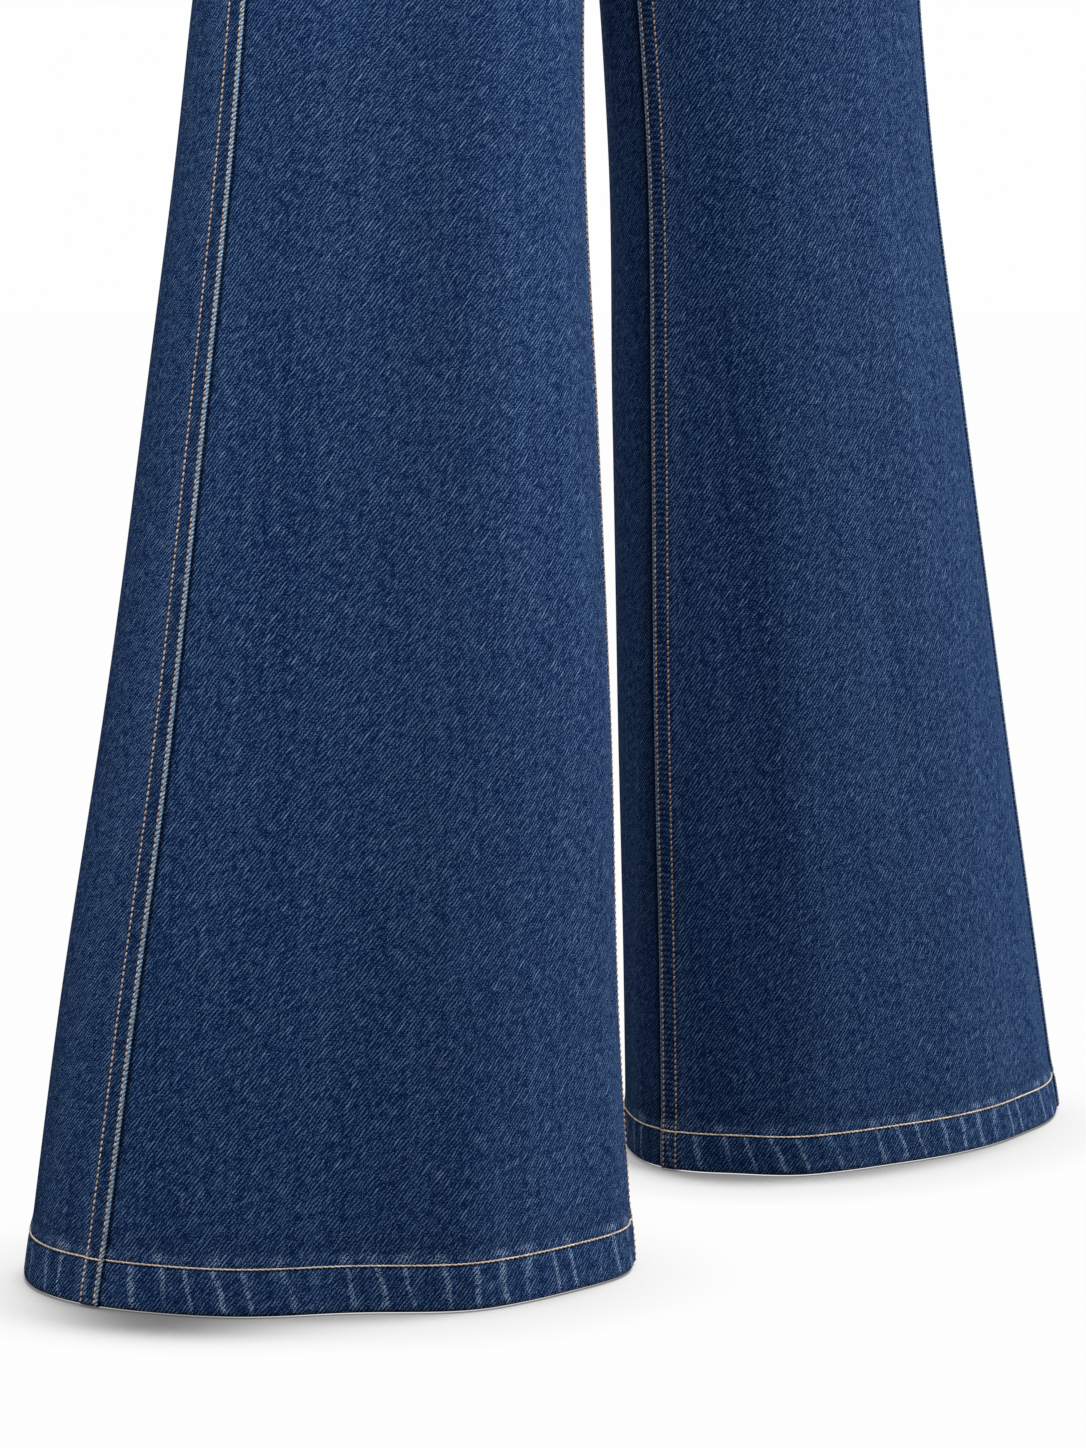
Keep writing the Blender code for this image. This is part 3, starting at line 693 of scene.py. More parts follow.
def aged_brass(name, tint):
    """Brushed brass, darker in patches."""
    s = Shader(bpy.data.materials.new(name))
    place = s.term("ShaderNodeTexCoord", {}, {}, "Object")
    patches = s.term("ShaderNodeTexNoise", {}, {"Vector": place, "Scale": 420.0, "Detail": 3.0})
    fine = s.term("ShaderNodeTexNoise", {}, {"Vector": place, "Scale": 3200.0, "Detail": 1.0})
    mixed = s.mix(patches.over(0.35, 3.0), tuple(0.5 * c for c in tint), tuple(tint))
    normal = s.term("ShaderNodeBump", {}, {"Strength": 0.3, "Distance": 0.0002, "Height": fine})
    return s.surface({"Base Color": mixed, "Metallic": 1.0, "Roughness": fine * 0.2 + 0.26,
                      "Normal": normal})


def woven_tape(name, tint):
    """Close herringbone of the zip tape."""
    s = Shader(bpy.data.materials.new(name))
    u, v = s.place("flat")
    ribs = ((u * 900.0).sine() * 2.2 + v * 4200.0).sine()
    fuzz = s.noise(u * 1500.0, v * 1500.0)
    mixed = s.mix((ribs * 0.3 + fuzz).clamp(), tuple(0.5 * c for c in tint),
                  tuple(2.2 * c for c in tint))
    normal = s.term("ShaderNodeBump", {}, {"Strength": 0.4, "Distance": 0.0002, "Height": ribs})
    return s.surface({"Base Color": mixed, "Roughness": 0.85, "Normal": normal})


FINISHES = {}


def finish_named(name):
    """Each finish is made once, the first time that a piece asks for it."""
    if name not in FINISHES:
        colours = bpy.context.scene.jeans_colours
        makers = {
            "washed_denim": lambda: denim(name, colours, bpy.context.scene.jeans_sizes),
            "hem_thread": lambda: twisted_thread(name, tuple(colours.hem_thread)),
            "seam_thread": lambda: twisted_thread(name, tuple(colours.seam_thread)),
            "inner_thread": lambda: twisted_thread(name, tuple(colours.inner_thread)),
            "aged_brass": lambda: aged_brass(name, tuple(colours.brass)),
            "woven_tape": lambda: woven_tape(name, tuple(colours.tape)),
        }
        FINISHES[name] = makers[name]()
    return FINISHES[name]


# ---- leg panels -------------------------------------------------------------------------------
LAP_COLUMNS = (0.0000, 0.0002, 0.0006, 0.0011, 0.0016, 0.0020, 0.0024, 0.0029, 0.0040, 0.0060,
               0.0080, 0.0098, 0.0106, 0.0110, 0.0114, 0.0120, 0.0128, 0.0138, 0.0156)
START_COLUMNS = (0.0, 0.0005, 0.0012, 0.0022, 0.0036)
FRONT_COLUMNS, BACK_COLUMNS = 112, 160      # between those at the two edges
HEM_ROWS = (0.0, 0.0003, 0.0009, 0.0018, 0.0035, 0.0052, 0.0070, 0.0088, 0.0106, 0.0124, 0.0142,
            0.0160, 0.0178, 0.0195, 0.0208, 0.0218, 0.0226, 0.0232, 0.0240, 0.0250, 0.0262,
            0.0280, 0.0300, 0.0325, 0.0350, 0.0380, 0.0415, 0.0450)
LEG_ROWS_START = 0.0500
LEG_ROW_STEP = 0.0060
YOKE_SIDE_DROP = 0.034
YOKE_MIDDLE_DROP = 0.072
MOUTH_WIDTH = 0.092
MOUTH_DROP = 0.100
MOUTH_UNDERLAP = 0.016
MOUTH_DEPTH = 0.0009
RISE_TOP = 0.929            # above it, the back panel's rows lean over to the yoke
HEM_LAYERS_TOP = 0.0012     # how far above its stitches the hem's inner layers end

# Marks of rubbing, and of painted shade, beside the hem's stitches and the lap's folded edge.
HEM_MARKS = (
    # mark, above the stitches, spread, strength
    ("fuzz", 0.0034, 0.0024, 1.00),
    ("shade", -0.0005, 0.0010, 0.40),
    ("shade", 0.0090, 0.0060, 0.18),
)
LAP_MARKS = (
    # mark, from the folded edge, spread, strength
    ("wear", 0.0150, 0.0030, 0.09),
    ("shade", SEAM_ROWS[0], 0.0006, 0.45),
    ("shade", SEAM_ROWS[1], 0.0006, 0.45),
    ("shade", 0.0065, 0.0040, 0.22),
)
HEM_EDGE_WEAR, HEM_EDGE_SPREAD = 0.75, 0.0011
FRONT_START_SHADE, BACK_START_SHADE = 0.0011, 0.0025    # spread of the painted shadow beside a panel's first edge
DARKEST = 0.9


class Cut:
    """Where a panel's columns run: angle, distance and width at heights, for each column."""

    def __init__(self, side, edges, low, high, distances, step):
        self.heights = np.linspace(low, high, int((high - low) / step) + 2)
        angles, places, widths = [], [], []
        for height in self.heights:
            section = panel_section(side, edges, height)
            place = distances(height, section.length)
            angles.append(section.angle(place))
            places.append(place)
            widths.append(section.length)
        self.angles, self.places = np.array(angles), np.array(places)
        self.widths = np.array(widths)

    def at(self, heights):
        """Angles and distances for rows of heights, and the panel's width there."""
        angle, place = (np.stack([np.interp(wanted, self.heights, column)
                                  for wanted, column in zip(heights.T, table.T)], axis=1)
                        for table in (self.angles, self.places))
        return angle, place, np.interp(heights, self.heights, self.widths)

    def area(self):
        across = self.places[:, -1] - self.places[:, 0]
        return float(np.sum(0.5 * (across[1:] + across[:-1]) * np.diff(self.heights)))


def leg_heights(top):
    """Rows up a leg panel, close together at the hem."""
    return np.concatenate((HEM_ROWS, np.arange(LEG_ROWS_START, top, LEG_ROW_STEP)))


def mouth_heights():
    """Rows up the front pocket's mouth, evenly spaced round its scoop."""
    return BAND_FOOT - MOUTH_DROP * np.cos(np.radians(np.linspace(0.0, 90.0, 34)))


def creases(rows, side, distance, width, height):
    total = 0.0
    for share, middle, spread, length, depth, lean in rows[side]:
        centre = share * width + lean * (height - middle)
        total = total + depth * bump(distance - centre, spread) * bump(height - middle, length / 2)
    return total


def panel_marks(shape):
    return {name: np.zeros(shape) for name in ("wear", "shade", "ridge", "hem", "fuzz", "band")}


def cloth_places(side, place, height, middle):
    """Place on the cut cloth, whose ribs run the same way on both sides of the garment."""
    return np.stack((-side * (place - middle), height), axis=-1)


def leg_panel(name, node, side, edges, count, crease_rows, top, lap_fade, rope, band, sizes,
              inset=None, lean_to=None):
    """A front or back leg panel, hemmed at its foot and lapped over its neighbour at one side."""
    def distances(height, length):
        first = EDGE + (float(inset(height)) if inset else 0.0)
        last = length - EDGE
        near = first + np.array(START_COLUMNS)
        far = last - np.array(LAP_COLUMNS[::-1])
        between = np.linspace(near[-1], far[0], count + 2)[1:-1]
        return np.concatenate((near, between, far))

    cut = Cut(side, edges, 0.0, top, distances, 0.004)
    if lean_to:
        heights = leg_heights(RISE_TOP)
        foot = heights[-1]
        share = (cut.places[-1] - EDGE) / (cut.widths[-1] - 2 * EDGE)
        climbs = np.linspace(0.0, 1.0, 16)[1:, None]
        upper = foot + (lean_to(share) - GAP - foot) * climbs
    else:
        heights = leg_heights(mouth_heights()[0] - 0.001)
        upper = rows_of(mouth_heights(), cut.places.shape[1])
    height = np.concatenate((rows_of(heights, cut.places.shape[1]), upper))
    angle, place, width = cut.at(height)
    from_edge = width - EDGE - place
    fade = lap_fade(height)
    soft = creases(crease_rows, side, place, width, height)
    lap = np.where(from_edge < LAP_PROFILE[-1][0], LAP(from_edge) * fade, 0.0)
    hem = np.where(height < HEM_PROFILE[-1][0], HEM(height), 0.0)
    hem_back = sizes.hem_thickness - sizes.cloth
    behind = soft - sizes.cloth - hem_back * (height < sizes.hem_stitch + HEM_LAYERS_TOP)
    outer = skin(side, height, angle, soft + hem + lap)
    inner = skin(side, height, angle, behind)
    keep_to_side(side, outer, inner)
    marks = panel_marks(height.shape)
    marks["hem"] = smoothstep(height / 0.004) * smoothstep((sizes.hem_stitch - height) / 0.0015)
    marks["wear"] = HEM_EDGE_WEAR * bump(height, HEM_EDGE_SPREAD)
    # Painted shade: the broad bands, and a painted shadow beside the panel's first edge, under its
    # neighbour's lap.
    marks["shade"] = (creases(PAINTED_SHADE_BANDS[bool(lean_to)], side, place, width, height)
                      + 0.90 * bump(place - place[:, :1],
                                    BACK_START_SHADE if lean_to else FRONT_START_SHADE))
    for mark, above, spread, strength in HEM_MARKS:
        marks[mark] += strength * bump(height - sizes.hem_stitch - above, spread)
    for mark, away, spread, strength in LAP_MARKS:
        marks[mark] += strength * fade * bump(from_edge - away, spread)
    marks["shade"] = np.clip(marks["shade"], 0.0, DARKEST)
    marks["ridge"] = rope * fade * np.minimum(1.6 * bump(from_edge - 0.0010, 0.0010), 1.0)
    between_rows = (smoothstep((from_edge - 0.0022) / 0.001)
                    * smoothstep((0.0108 - from_edge) / 0.001))
    marks["band"] = band * fade * between_rows
    flat = cloth_places(side, place, height, 0.5 * width)
    seam = np.stack((from_edge, height), axis=-1)
    piece = lay_shell(name, outer, inner, flat, marks, seam)
    finish(piece, node, finish_named("washed_denim"))
    tall = float(height.max())
    widest = float((cut.places[:, -1] - cut.places[:, 0]).max())
    min(cut.area(), widest * tall)
    return piece


def mouth_inset(height):
    down = np.clip((BAND_FOOT - height) / MOUTH_DROP, 0.0, 1.0)
    return MOUTH_WIDTH * np.sqrt(1.0 - down * down)


def yoke_line(share):
    return BAND_FOOT - (YOKE_MIDDLE_DROP + (YOKE_SIDE_DROP - YOKE_MIDDLE_DROP) * share)


def crotch_fade(height):
    return smoothstep((CROTCH_HEIGHT - height) / 0.04)


def all_the_way(height):
    return np.ones_like(height)


SIDES = ((-1, "right"), (1, "left"))
OUTSEAM_ROPE = {-1: 0.95, 1: 0.45}      # how far the rubbed rope of each outseam shows
INSEAM_ROPE = 0.45
OUTSEAM_BAND, INSEAM_BAND = 0.10, 0.34  # how far the ladder between the two rows shows, in relief and in painted shade


class JEANS_OT_legs(bpy.types.Operator):
    """Lay the two front and two back leg panels, with their hems and felled seams"""
    bl_idname = "jeans.legs"
    bl_label = "Leg Panels"

    def execute(self, context):
        sizes = context.scene.jeans_sizes
        for side, hand in SIDES:
            leg_panel(f"front_panel_{hand}", f"front_{hand}", side, front_edges, FRONT_COLUMNS,
                      FRONT_CREASES, BAND_FOOT, crotch_fade, INSEAM_ROPE, INSEAM_BAND, sizes,
                      inset=mouth_inset)
            leg_panel(f"back_panel_{hand}", f"back_{hand}", side, back_edges, BACK_COLUMNS,
                      BACK_CREASES, BAND_FOOT - YOKE_SIDE_DROP, all_the_way,
                      OUTSEAM_ROPE[side], OUTSEAM_BAND, sizes, lean_to=yoke_line)
        return {"FINISHED"}


# ---- the pieces round the seat and waist --------------------------------------------------------
def folded_edge(distance):
    """A cut edge turned under: its rim is a little lower than the cloth behind it."""
    return -0.0006 * bump(distance, 0.00045)


def patch(name, node, side, height, angle, place, out, thickness, marks,
          seam=None, halved=True):
    """A shell whose rows of heights and angles, and its lift off the form, are given."""
    outer = skin(side, height, angle, out)
    inner = skin(side, height, angle, np.minimum(out, np.median(out)) - thickness)
    if halved:
        keep_to_side(side, outer, inner)
    flat = cloth_places(side, place, height, 0.5 * place.max())
    if seam is None:
        seam = far_from_seams(height)
    piece = lay_shell(name, outer, inner, flat, marks, seam)
    finish(piece, node, finish_named("washed_denim"))
    return piece


YOKE_COLUMNS = 84


def yoke_columns(height, length):
    return np.linspace(EDGE, length - EDGE, YOKE_COLUMNS)


class JEANS_OT_seat(bpy.types.Operator):
    """Lay the two yokes over the tops of the back panels"""
    bl_idname = "jeans.seat"
    bl_label = "Yokes"

    def execute(self, context):
        cloth = context.scene.jeans_sizes.cloth
        foot_rows = np.array(LAP_COLUMNS)
        foot = yoke_line(np.linspace(0.0, 1.0, YOKE_COLUMNS))
        upper = np.linspace(0.0175, 1.0, 14)[:, None]
        height = np.concatenate((foot + foot_rows[:, None], foot + foot_rows[-1]
                                 + (BAND_FOOT - foot - foot_rows[-1]) * upper))
        above = height - foot
        for side, hand in SIDES:
            cut = Cut(side, back_edges, BAND_FOOT - YOKE_MIDDLE_DROP - 0.002, BAND_FOOT,
                      yoke_columns, 0.002)
            angle, place, _ = cut.at(height)
            out = np.where(above < LAP_PROFILE[-1][0], LAP(above), 0.0)
            marks = panel_marks(height.shape)
            marks["ridge"] = 0.6 * bump(above - 0.0009, 0.00105)
            marks["wear"] = 0.20 * bump(above - 0.0160, 0.0030)
            # Painted shade along its two rows of stitches.
            marks["shade"] = 0.35 * (bump(above - SEAM_ROWS[0], 0.0006)
                                     + bump(above - SEAM_ROWS[1], 0.0006))
            patch(f"yoke_panel_{hand}", f"yoke_{hand}", side, height, angle, place, out, cloth,
                  marks,
                  seam=np.stack((above, place), axis=-1))
        return {"FINISHED"}


POCKET_WIDTH = 0.145
POCKET_SIDE_DEPTH = 0.128
POCKET_POINT_DEPTH = 0.146
POCKET_FROM_MIDDLE = 0.050
POCKET_TOP_DROP = 0.080
POCKET_LIFT = 0.0013
POCKET_HEM = 0.014
POCKET_GRID = 49
MOUTH_COLUMNS = 30
MOUTH_PIECE_FOOT = 0.014    # how far the pocket side piece runs on below the mouth


def mouth_columns(height, length):
    reach = float(mouth_inset(height)) + MOUTH_UNDERLAP
    return EDGE + reach * np.linspace(0.0, 1.0, MOUTH_COLUMNS)


def pocket_depth(share):
    """The back pocket's depth at a share across it, deepest at its point."""
    return POCKET_POINT_DEPTH + (POCKET_SIDE_DEPTH - POCKET_POINT_DEPTH) * np.abs(2 * share - 1)


def pocket_point(side, share, climb):
    """Height, angle and distances on a back pocket, at shares across and up it."""
    height = BAND_FOOT - POCKET_TOP_DROP - pocket_depth(share) * (1.0 - climb)
    distance = POCKET_FROM_MIDDLE + share * POCKET_WIDTH
    angle = np.empty(height.shape)
    for index in np.ndindex(height.shape):
        section = panel_section(side, back_edges, height[index])
        angle[index] = section.angle(distance[index])
    return height, angle, distance


class JEANS_OT_pockets(bpy.types.Operator):
    """Lay the pocket side pieces inside the front mouths, and the back patch pockets"""
    bl_idname = "jeans.pockets"
    bl_label = "Pockets"

    def execute(self, context):
        cloth = context.scene.jeans_sizes.cloth
        for side, hand in SIDES:
            low = BAND_FOOT - MOUTH_DROP - MOUTH_PIECE_FOOT
            cut = Cut(side, front_edges, low, BAND_FOOT, mouth_columns, 0.001)
            rows = mouth_heights()
            rows = np.concatenate((np.linspace(low, rows[0], 5)[:-1], rows))
            height = rows_of(rows, MOUTH_COLUMNS)
            angle, place, _ = cut.at(height)
            inset = mouth_inset(height)
            marks = panel_marks(height.shape)
            # Painted shade on the side piece along the mouth's edge, where the front panel
            # overhangs it.
            marks["shade"] = 0.55 * bump(place - inset, 0.0045) * (inset > 0.0)
            out = np.full(height.shape, -cloth - MOUTH_DEPTH)
            patch(f"pocket_side_panel_{hand}", f"pocket_side_{hand}", side, height, angle, place,
                  out, cloth, marks)

            across, up = np.meshgrid(*2 * (np.linspace(0.0, 1.0, POCKET_GRID),))
            height, angle, distance = pocket_point(side, across, up)
            in_from_top = (1.0 - up) * pocket_depth(across)
            rim = np.minimum(np.minimum(across, 1.0 - across) * POCKET_WIDTH,
                             up * pocket_depth(across))
            out = (POCKET_LIFT + cloth + 0.0004 * bump(rim - 0.0045, 0.003) + folded_edge(rim)
                   + 0.0008 * smoothstep((POCKET_HEM - in_from_top) / 0.0015))
            marks = panel_marks(height.shape)
            marks["wear"] = np.clip(0.55 * bump(rim, 0.0022) + 0.6 * bump(in_from_top, 0.0022)
                                    + 0.2 * bump(in_from_top - POCKET_HEM, 0.0025), 0.0, 1.0)
            patch(f"back_pocket_panel_{hand}", f"back_pocket_{hand}", side, height, angle,
                  distance - POCKET_FROM_MIDDLE, out, cloth, marks)
        return {"FINISHED"}


BAND_THICKNESS = 0.0024
BAND_START = 85.0
BAND_OVERLAP_ANGLE = 14.0
BAND_RAMP = 0.05
BAND_SWEEP = 360.0 + BAND_OVERLAP_ANGLE
BAND_ROWS = (0.0, 0.0003, 0.0009, 0.0018, 0.0027, 0.0033, 0.0040, 0.0060, 0.0100, 0.0150, 0.0200,
             0.0250, 0.0300, 0.0340, 0.0360, 0.0366, 0.0372, 0.0382, 0.0390, 0.0394, 0.0397)
BAND_PROFILE = (
    # height, out
    (0.0000, -0.0005), (0.0003, 0.0000), (0.0009, 0.0003), (0.0027, 0.0002), (0.0033, -0.0001),
    (0.0040, 0.0002), (0.0100, 0.0003), (0.0300, 0.0003), (0.0360, 0.0002), (0.0366, -0.0001),
    (0.0372, 0.0002), (0.0390, 0.0003), (0.0394, 0.0000), (0.0397, -0.0005),
)
BAND = Curve(BAND_PROFILE, 1)


def band_lift(share):
    """How far the buttoned end has climbed over the end beneath it."""
    foot = 1.0 - BAND_RAMP - BAND_OVERLAP_ANGLE / BAND_SWEEP
    return smoothstep((share - foot) / BAND_RAMP) * (BAND_THICKNESS + GAP)


class JEANS_OT_waistband(bpy.types.Operator):
    """Lay the waistband, one strip round the waist whose ends lap at the front"""
    bl_idname = "jeans.waistband"
    bl_label = "Waistband"

    def execute(self, context):
        share = np.linspace(0.0, 1.0, 321)
        rows = np.array(BAND_ROWS)
        height = rows_of(BAND_FOOT + GAP + rows, len(share))
        share = np.repeat(share[None, :], len(rows), axis=0)
        angle = BAND_START + BAND_SWEEP * share
        out = band_lift(share) + BAND(height - BAND_FOOT - GAP)
        run = runs(skin(1, np.full(share.shape[1], WAIST_HEIGHT), angle[0]))
        place = np.repeat(run[None, :], len(rows), axis=0)
        marks = panel_marks(height.shape)
        rim = np.minimum(rows, rows[-1] - rows)[:, None] + np.zeros(share.shape)
        ends = np.minimum(place, run[-1] - place)
        marks["wear"] = np.clip(0.6 * bump(rim, 0.0010) + 0.5 * bump(ends, 0.0015), 0.0, 1.0)
        # Painted shade along the grooves of its two sewn rows.
        marks["shade"] = 0.3 * bump(rim - 0.0030, 0.0007)
        outer = skin(1, height, angle, out)
        inner = skin(1, height, angle, band_lift(share) - BAND_THICKNESS)
        flat = np.stack((height, place), axis=-1)
        piece = lay_shell("waistband_strip", outer, inner, flat, marks, far_from_seams(height))
        finish(piece, "waistband", finish_named("washed_denim"))
        return {"FINISHED"}


LOOP_WIDTH = 0.011
LOOP_HEIGHT = 0.052
LOOP_FOOT = BAND_FOOT - 0.014
LOOP_THICKNESS = 0.0018
LOOP_LIFT = 0.0006
LOOP_ANGLES = {"front_left": 62.0, "front_right": 118.0, "side_left": 338.0,
               "side_right": 202.0, "back": 270.0}
LOOP_SPAN = 12.0            # degrees to each side of its middle that are measured


def loop_angle(middle, height, across):
    section = Section(1, height, middle - LOOP_SPAN, middle + LOOP_SPAN)
    centre = np.interp(middle, section.angles, section.lengths)
    return section.angle(centre + across)


class JEANS_OT_belt_loops(bpy.types.Operator):
    """Lay the five belt loops over the waistband"""
    bl_idname = "jeans.belt_loops"
    bl_label = "Belt Loops"

    def execute(self, context):
        across = np.linspace(-0.5, 0.5, 15) * LOOP_WIDTH
        climb = np.concatenate((np.linspace(0.0, 0.06, 6), np.linspace(0.1, 0.9, 20),
                                np.linspace(0.94, 1.0, 6)))
        for name, middle in LOOP_ANGLES.items():
            heights = LOOP_FOOT + LOOP_HEIGHT * climb
            angle = np.array([loop_angle(middle, h, across) for h in heights])
            height = rows_of(heights, len(across))
            rim = np.minimum(height - heights[0], heights[-1] - height)
            side_rim = LOOP_WIDTH / 2 - np.abs(np.repeat(across[None, :], len(climb), axis=0))
            out = (LOOP_LIFT + LOOP_THICKNESS + folded_edge(side_rim) - 0.0003 * bump(rim, 0.0016)
                   + 0.00025 * bump(side_rim - 0.0012, 0.0008))
            marks = panel_marks(height.shape)
            marks["wear"] = np.clip(0.7 * bump(side_rim, 0.0010) + 0.6 * bump(rim, 0.001), 0, 1)
            place = np.repeat((across + LOOP_WIDTH / 2)[None, :], len(climb), axis=0)
            patch(f"belt_loop_strip_{name}", f"belt_loop_{name}", 1, height, angle, place, out,
                  LOOP_THICKNESS, marks, halved=False)
        return {"FINISHED"}


FLY_WIDTH = 0.036
FLY_DEPTH = 0.150
FLY_ROUND = 0.052
FLY_TIP = 0.30
FLY_OVERLAP = 0.005
FLY_LIFT = 0.0006
ZIP_WIDTH = 0.026
ZIP_DEPTH = 0.125
ZIP_THICKNESS = 0.0012
TOOTH = (0.0042, 0.0010, 0.0013)
TOOTH_PITCH = 0.0021
TOOTH_SWAY = 0.0006         # each tooth to its own side of the middle
TOOTH_LIFT = 0.0004
FIRST_TOOTH = 0.004
TOOTH_BEVEL = 0.00025
FRONT_SPAN = 40.0           # degrees from the centre front that are measured


def front_section(side, height):
    """The section from the centre front outwards at one height."""
    edge = 180.0 - float(middle_angle(height))
    return Section(side, height, edge, edge - FRONT_SPAN)


def fly_reach(depth):
    below = np.clip((depth - FLY_DEPTH + FLY_ROUND) / FLY_ROUND, 0.0, 1.0)
    return FLY_WIDTH * (FLY_TIP + (1.0 - FLY_TIP) * np.sqrt(1.0 - below * below)) - FLY_OVERLAP


def middle_angles(depths, distances):
    """Side and angle of points beside the centre front, at depths below the waistband."""
    side = np.where(distances >= 0.0, 1, -1)
    angle = np.empty(distances.shape)
    for row, depth in enumerate(depths):
        for one in (-1, 1):
            section = front_section(one, BAND_FOOT - GAP - depth)
            pick = side[row] == one
            angle[row, pick] = section.angle(np.abs(distances[row, pick]))
    return side, angle


def middle_points(depths, distances, out):
    side, angle = middle_angles(depths, distances)
    height = rows_of(BAND_FOOT - GAP - np.asarray(depths), distances.shape[1])
    out = np.broadcast_to(out, distances.shape)
    both = {one: skin(one, height, angle, out) for one in (-1, 1)}
    return height, np.where((side == 1)[..., None], both[1], both[-1])


class JEANS_OT_fly(bpy.types.Operator):
    """Lay the fly flap over the centre front, and the closed zip behind it"""
    bl_idname = "jeans.fly"
    bl_label = "Fly and Zip"

    def execute(self, context):
        sizes = context.scene.jeans_sizes
        climbs = np.concatenate((np.linspace(0.0, 0.34, 26), np.linspace(0.36, 1.0, 28)))
        depths = FLY_DEPTH * (1.0 - climbs)
        share = np.linspace(0.0, 1.0, 25)
        reach = fly_reach(depths)[:, None]
        distance = -FLY_OVERLAP + (reach + FLY_OVERLAP) * share
        rim = np.minimum((1.0 - share) * (reach + FLY_OVERLAP), share * (reach + FLY_OVERLAP))
        out = FLY_LIFT + sizes.cloth + folded_edge(rim) + 0.0003 * bump(rim - 0.0015, 0.001)
        height, outer = middle_points(depths, distance, out)
        _, inner = middle_points(depths, distance, FLY_LIFT)
        marks = panel_marks(height.shape)
        marks["wear"] = np.clip(0.6 * bump(rim, 0.0012), 0.0, 1.0)
        flat = np.stack((-distance, height), axis=-1)
        piece = lay_shell("fly_flap_panel", outer, inner, flat, marks, far_from_seams(height))
        finish(piece, "fly_flap", finish_named("washed_denim"))

        depths = ZIP_DEPTH * (1.0 - np.linspace(0.0, 1.0, 40))
        distance = np.repeat(np.linspace(-0.5, 0.5, 15)[None, :] * ZIP_WIDTH, 40, axis=0)
        behind = -sizes.cloth - FLY_LIFT
        height, outer = middle_points(depths, distance, behind)
        _, inner = middle_points(depths, distance, behind - ZIP_THICKNESS)
        tape = lay_shell("zip_tapes", outer, inner, np.stack((distance, height), axis=-1))
        finish(tape, "zip_tape", finish_named("woven_tape"))

        teeth = bmesh.new()
        for step in range(int(ZIP_DEPTH / TOOTH_PITCH) - 2):
            depth = FIRST_TOOTH + TOOTH_PITCH * step
            across = TOOTH_SWAY if step % 2 else -TOOTH_SWAY
            _, place = middle_points([depth], np.array([[across]]),
                                     behind - ZIP_THICKNESS - TOOTH_LIFT)
            made = bmesh.ops.create_cube(teeth, size=1.0)["verts"]
            bmesh.ops.scale(teeth, vec=TOOTH, verts=made)
            bmesh.ops.translate(teeth, vec=Vector(place[0, 0]), verts=made)
        bmesh.ops.bevel(teeth, geom=teeth.edges[:], offset=TOOTH_BEVEL, segments=1, profile=0.5,
                        affect="EDGES", material=-1)
        piece = piece_of("zip_teeth", mesh_of("zip_teeth", teeth))
        finish(piece, None, finish_named("aged_brass"))
        return {"FINISHED"}


BUTTON_ANGLE = 93.0
BUTTON_PROFILE = (
    # radius, height above the band, from the middle of the head round to its foot
    (0.0000, 0.0043), (0.0018, 0.0043), (0.0023, 0.0047), (0.0030, 0.0049), (0.0036, 0.0044),
    (0.0042, 0.0042), (0.0060, 0.0042), (0.0066, 0.0048), (0.0074, 0.0050), (0.0081, 0.0045),
    (0.0085, 0.0037), (0.0083, 0.0029), (0.0076, 0.0025), (0.0044, 0.0023), (0.0040, 0.0019),
    (0.0040, 0.0001), (0.0000, 0.0001),
)


class JEANS_OT_button(bpy.types.Operator):
    """Turn the shank button at the end of the waistband"""
    bl_idname = "jeans.button"
    bl_label = "Button"

    def execute(self, context):
        seat = Vector(skin(1, WAIST_HEIGHT, BUTTON_ANGLE, BAND_THICKNESS + 2 * GAP))
        inside = Vector(skin(1, WAIST_HEIGHT, BUTTON_ANGLE, 0.0))
        shape = bmesh.new()
        corners = [shape.verts.new((radius, 0.0, up)) for radius, up in BUTTON_PROFILE]
        lines = [shape.edges.new(pair) for pair in zip(corners, corners[1:])]
        bmesh.ops.spin(shape, geom=corners + lines, cent=(0, 0, 0), axis=(0, 0, 1),
                       angle=math.tau, steps=48, use_merge=True)
        bmesh.ops.remove_doubles(shape, verts=shape.verts[:], dist=0.000001)
        bmesh.ops.recalc_face_normals(shape, faces=shape.faces[:])
        turn = (seat - inside).to_track_quat("Z", "Y").to_matrix().to_4x4()
        bmesh.ops.transform(shape, matrix=Matrix.Translation(seat) @ turn, verts=shape.verts[:])
        mesh = mesh_of("shank_button", shape)
        mesh.shade_smooth()
        mesh.set_sharp_from_angle(angle=math.radians(45.0))
        piece = piece_of("shank_button", mesh)
        finish(piece, "waist_button", finish_named("aged_brass"))
        return {"FINISHED"}


# ---- stitches -----------------------------------------------------------------------------------
# One stitch: how far along it, how thick, and how high over the cloth, in shares of its radius.
STITCH = (
    # along, thickness, lift
    (0.00, 0.55, -1.70), (0.13, 0.88, -0.20), (0.31, 1.00, 0.55), (0.50, 1.00, 0.72),
    (0.69, 1.00, 0.55), (0.87, 0.88, -0.20),
)
HEM_STITCH = (
    (0.00, 0.72, 0.00), (0.13, 0.92, 0.30), (0.31, 1.00, 0.52), (0.50, 1.00, 0.60),
    (0.69, 1.00, 0.52), (0.87, 0.92, 0.30),
)
THREAD_SIDES = 5
THREAD_LIFT = 0.0001        # how far a thread's path lies over a flap or a loop


def surface_path(side, height, angle, out):
    """Points along the cloth and its outward direction at each."""
    points = skin(side, height, angle, out)
    outward = skin(side, height, angle, out + 0.001) - points
    return points, outward / np.linalg.norm(outward, axis=-1, keepdims=True)


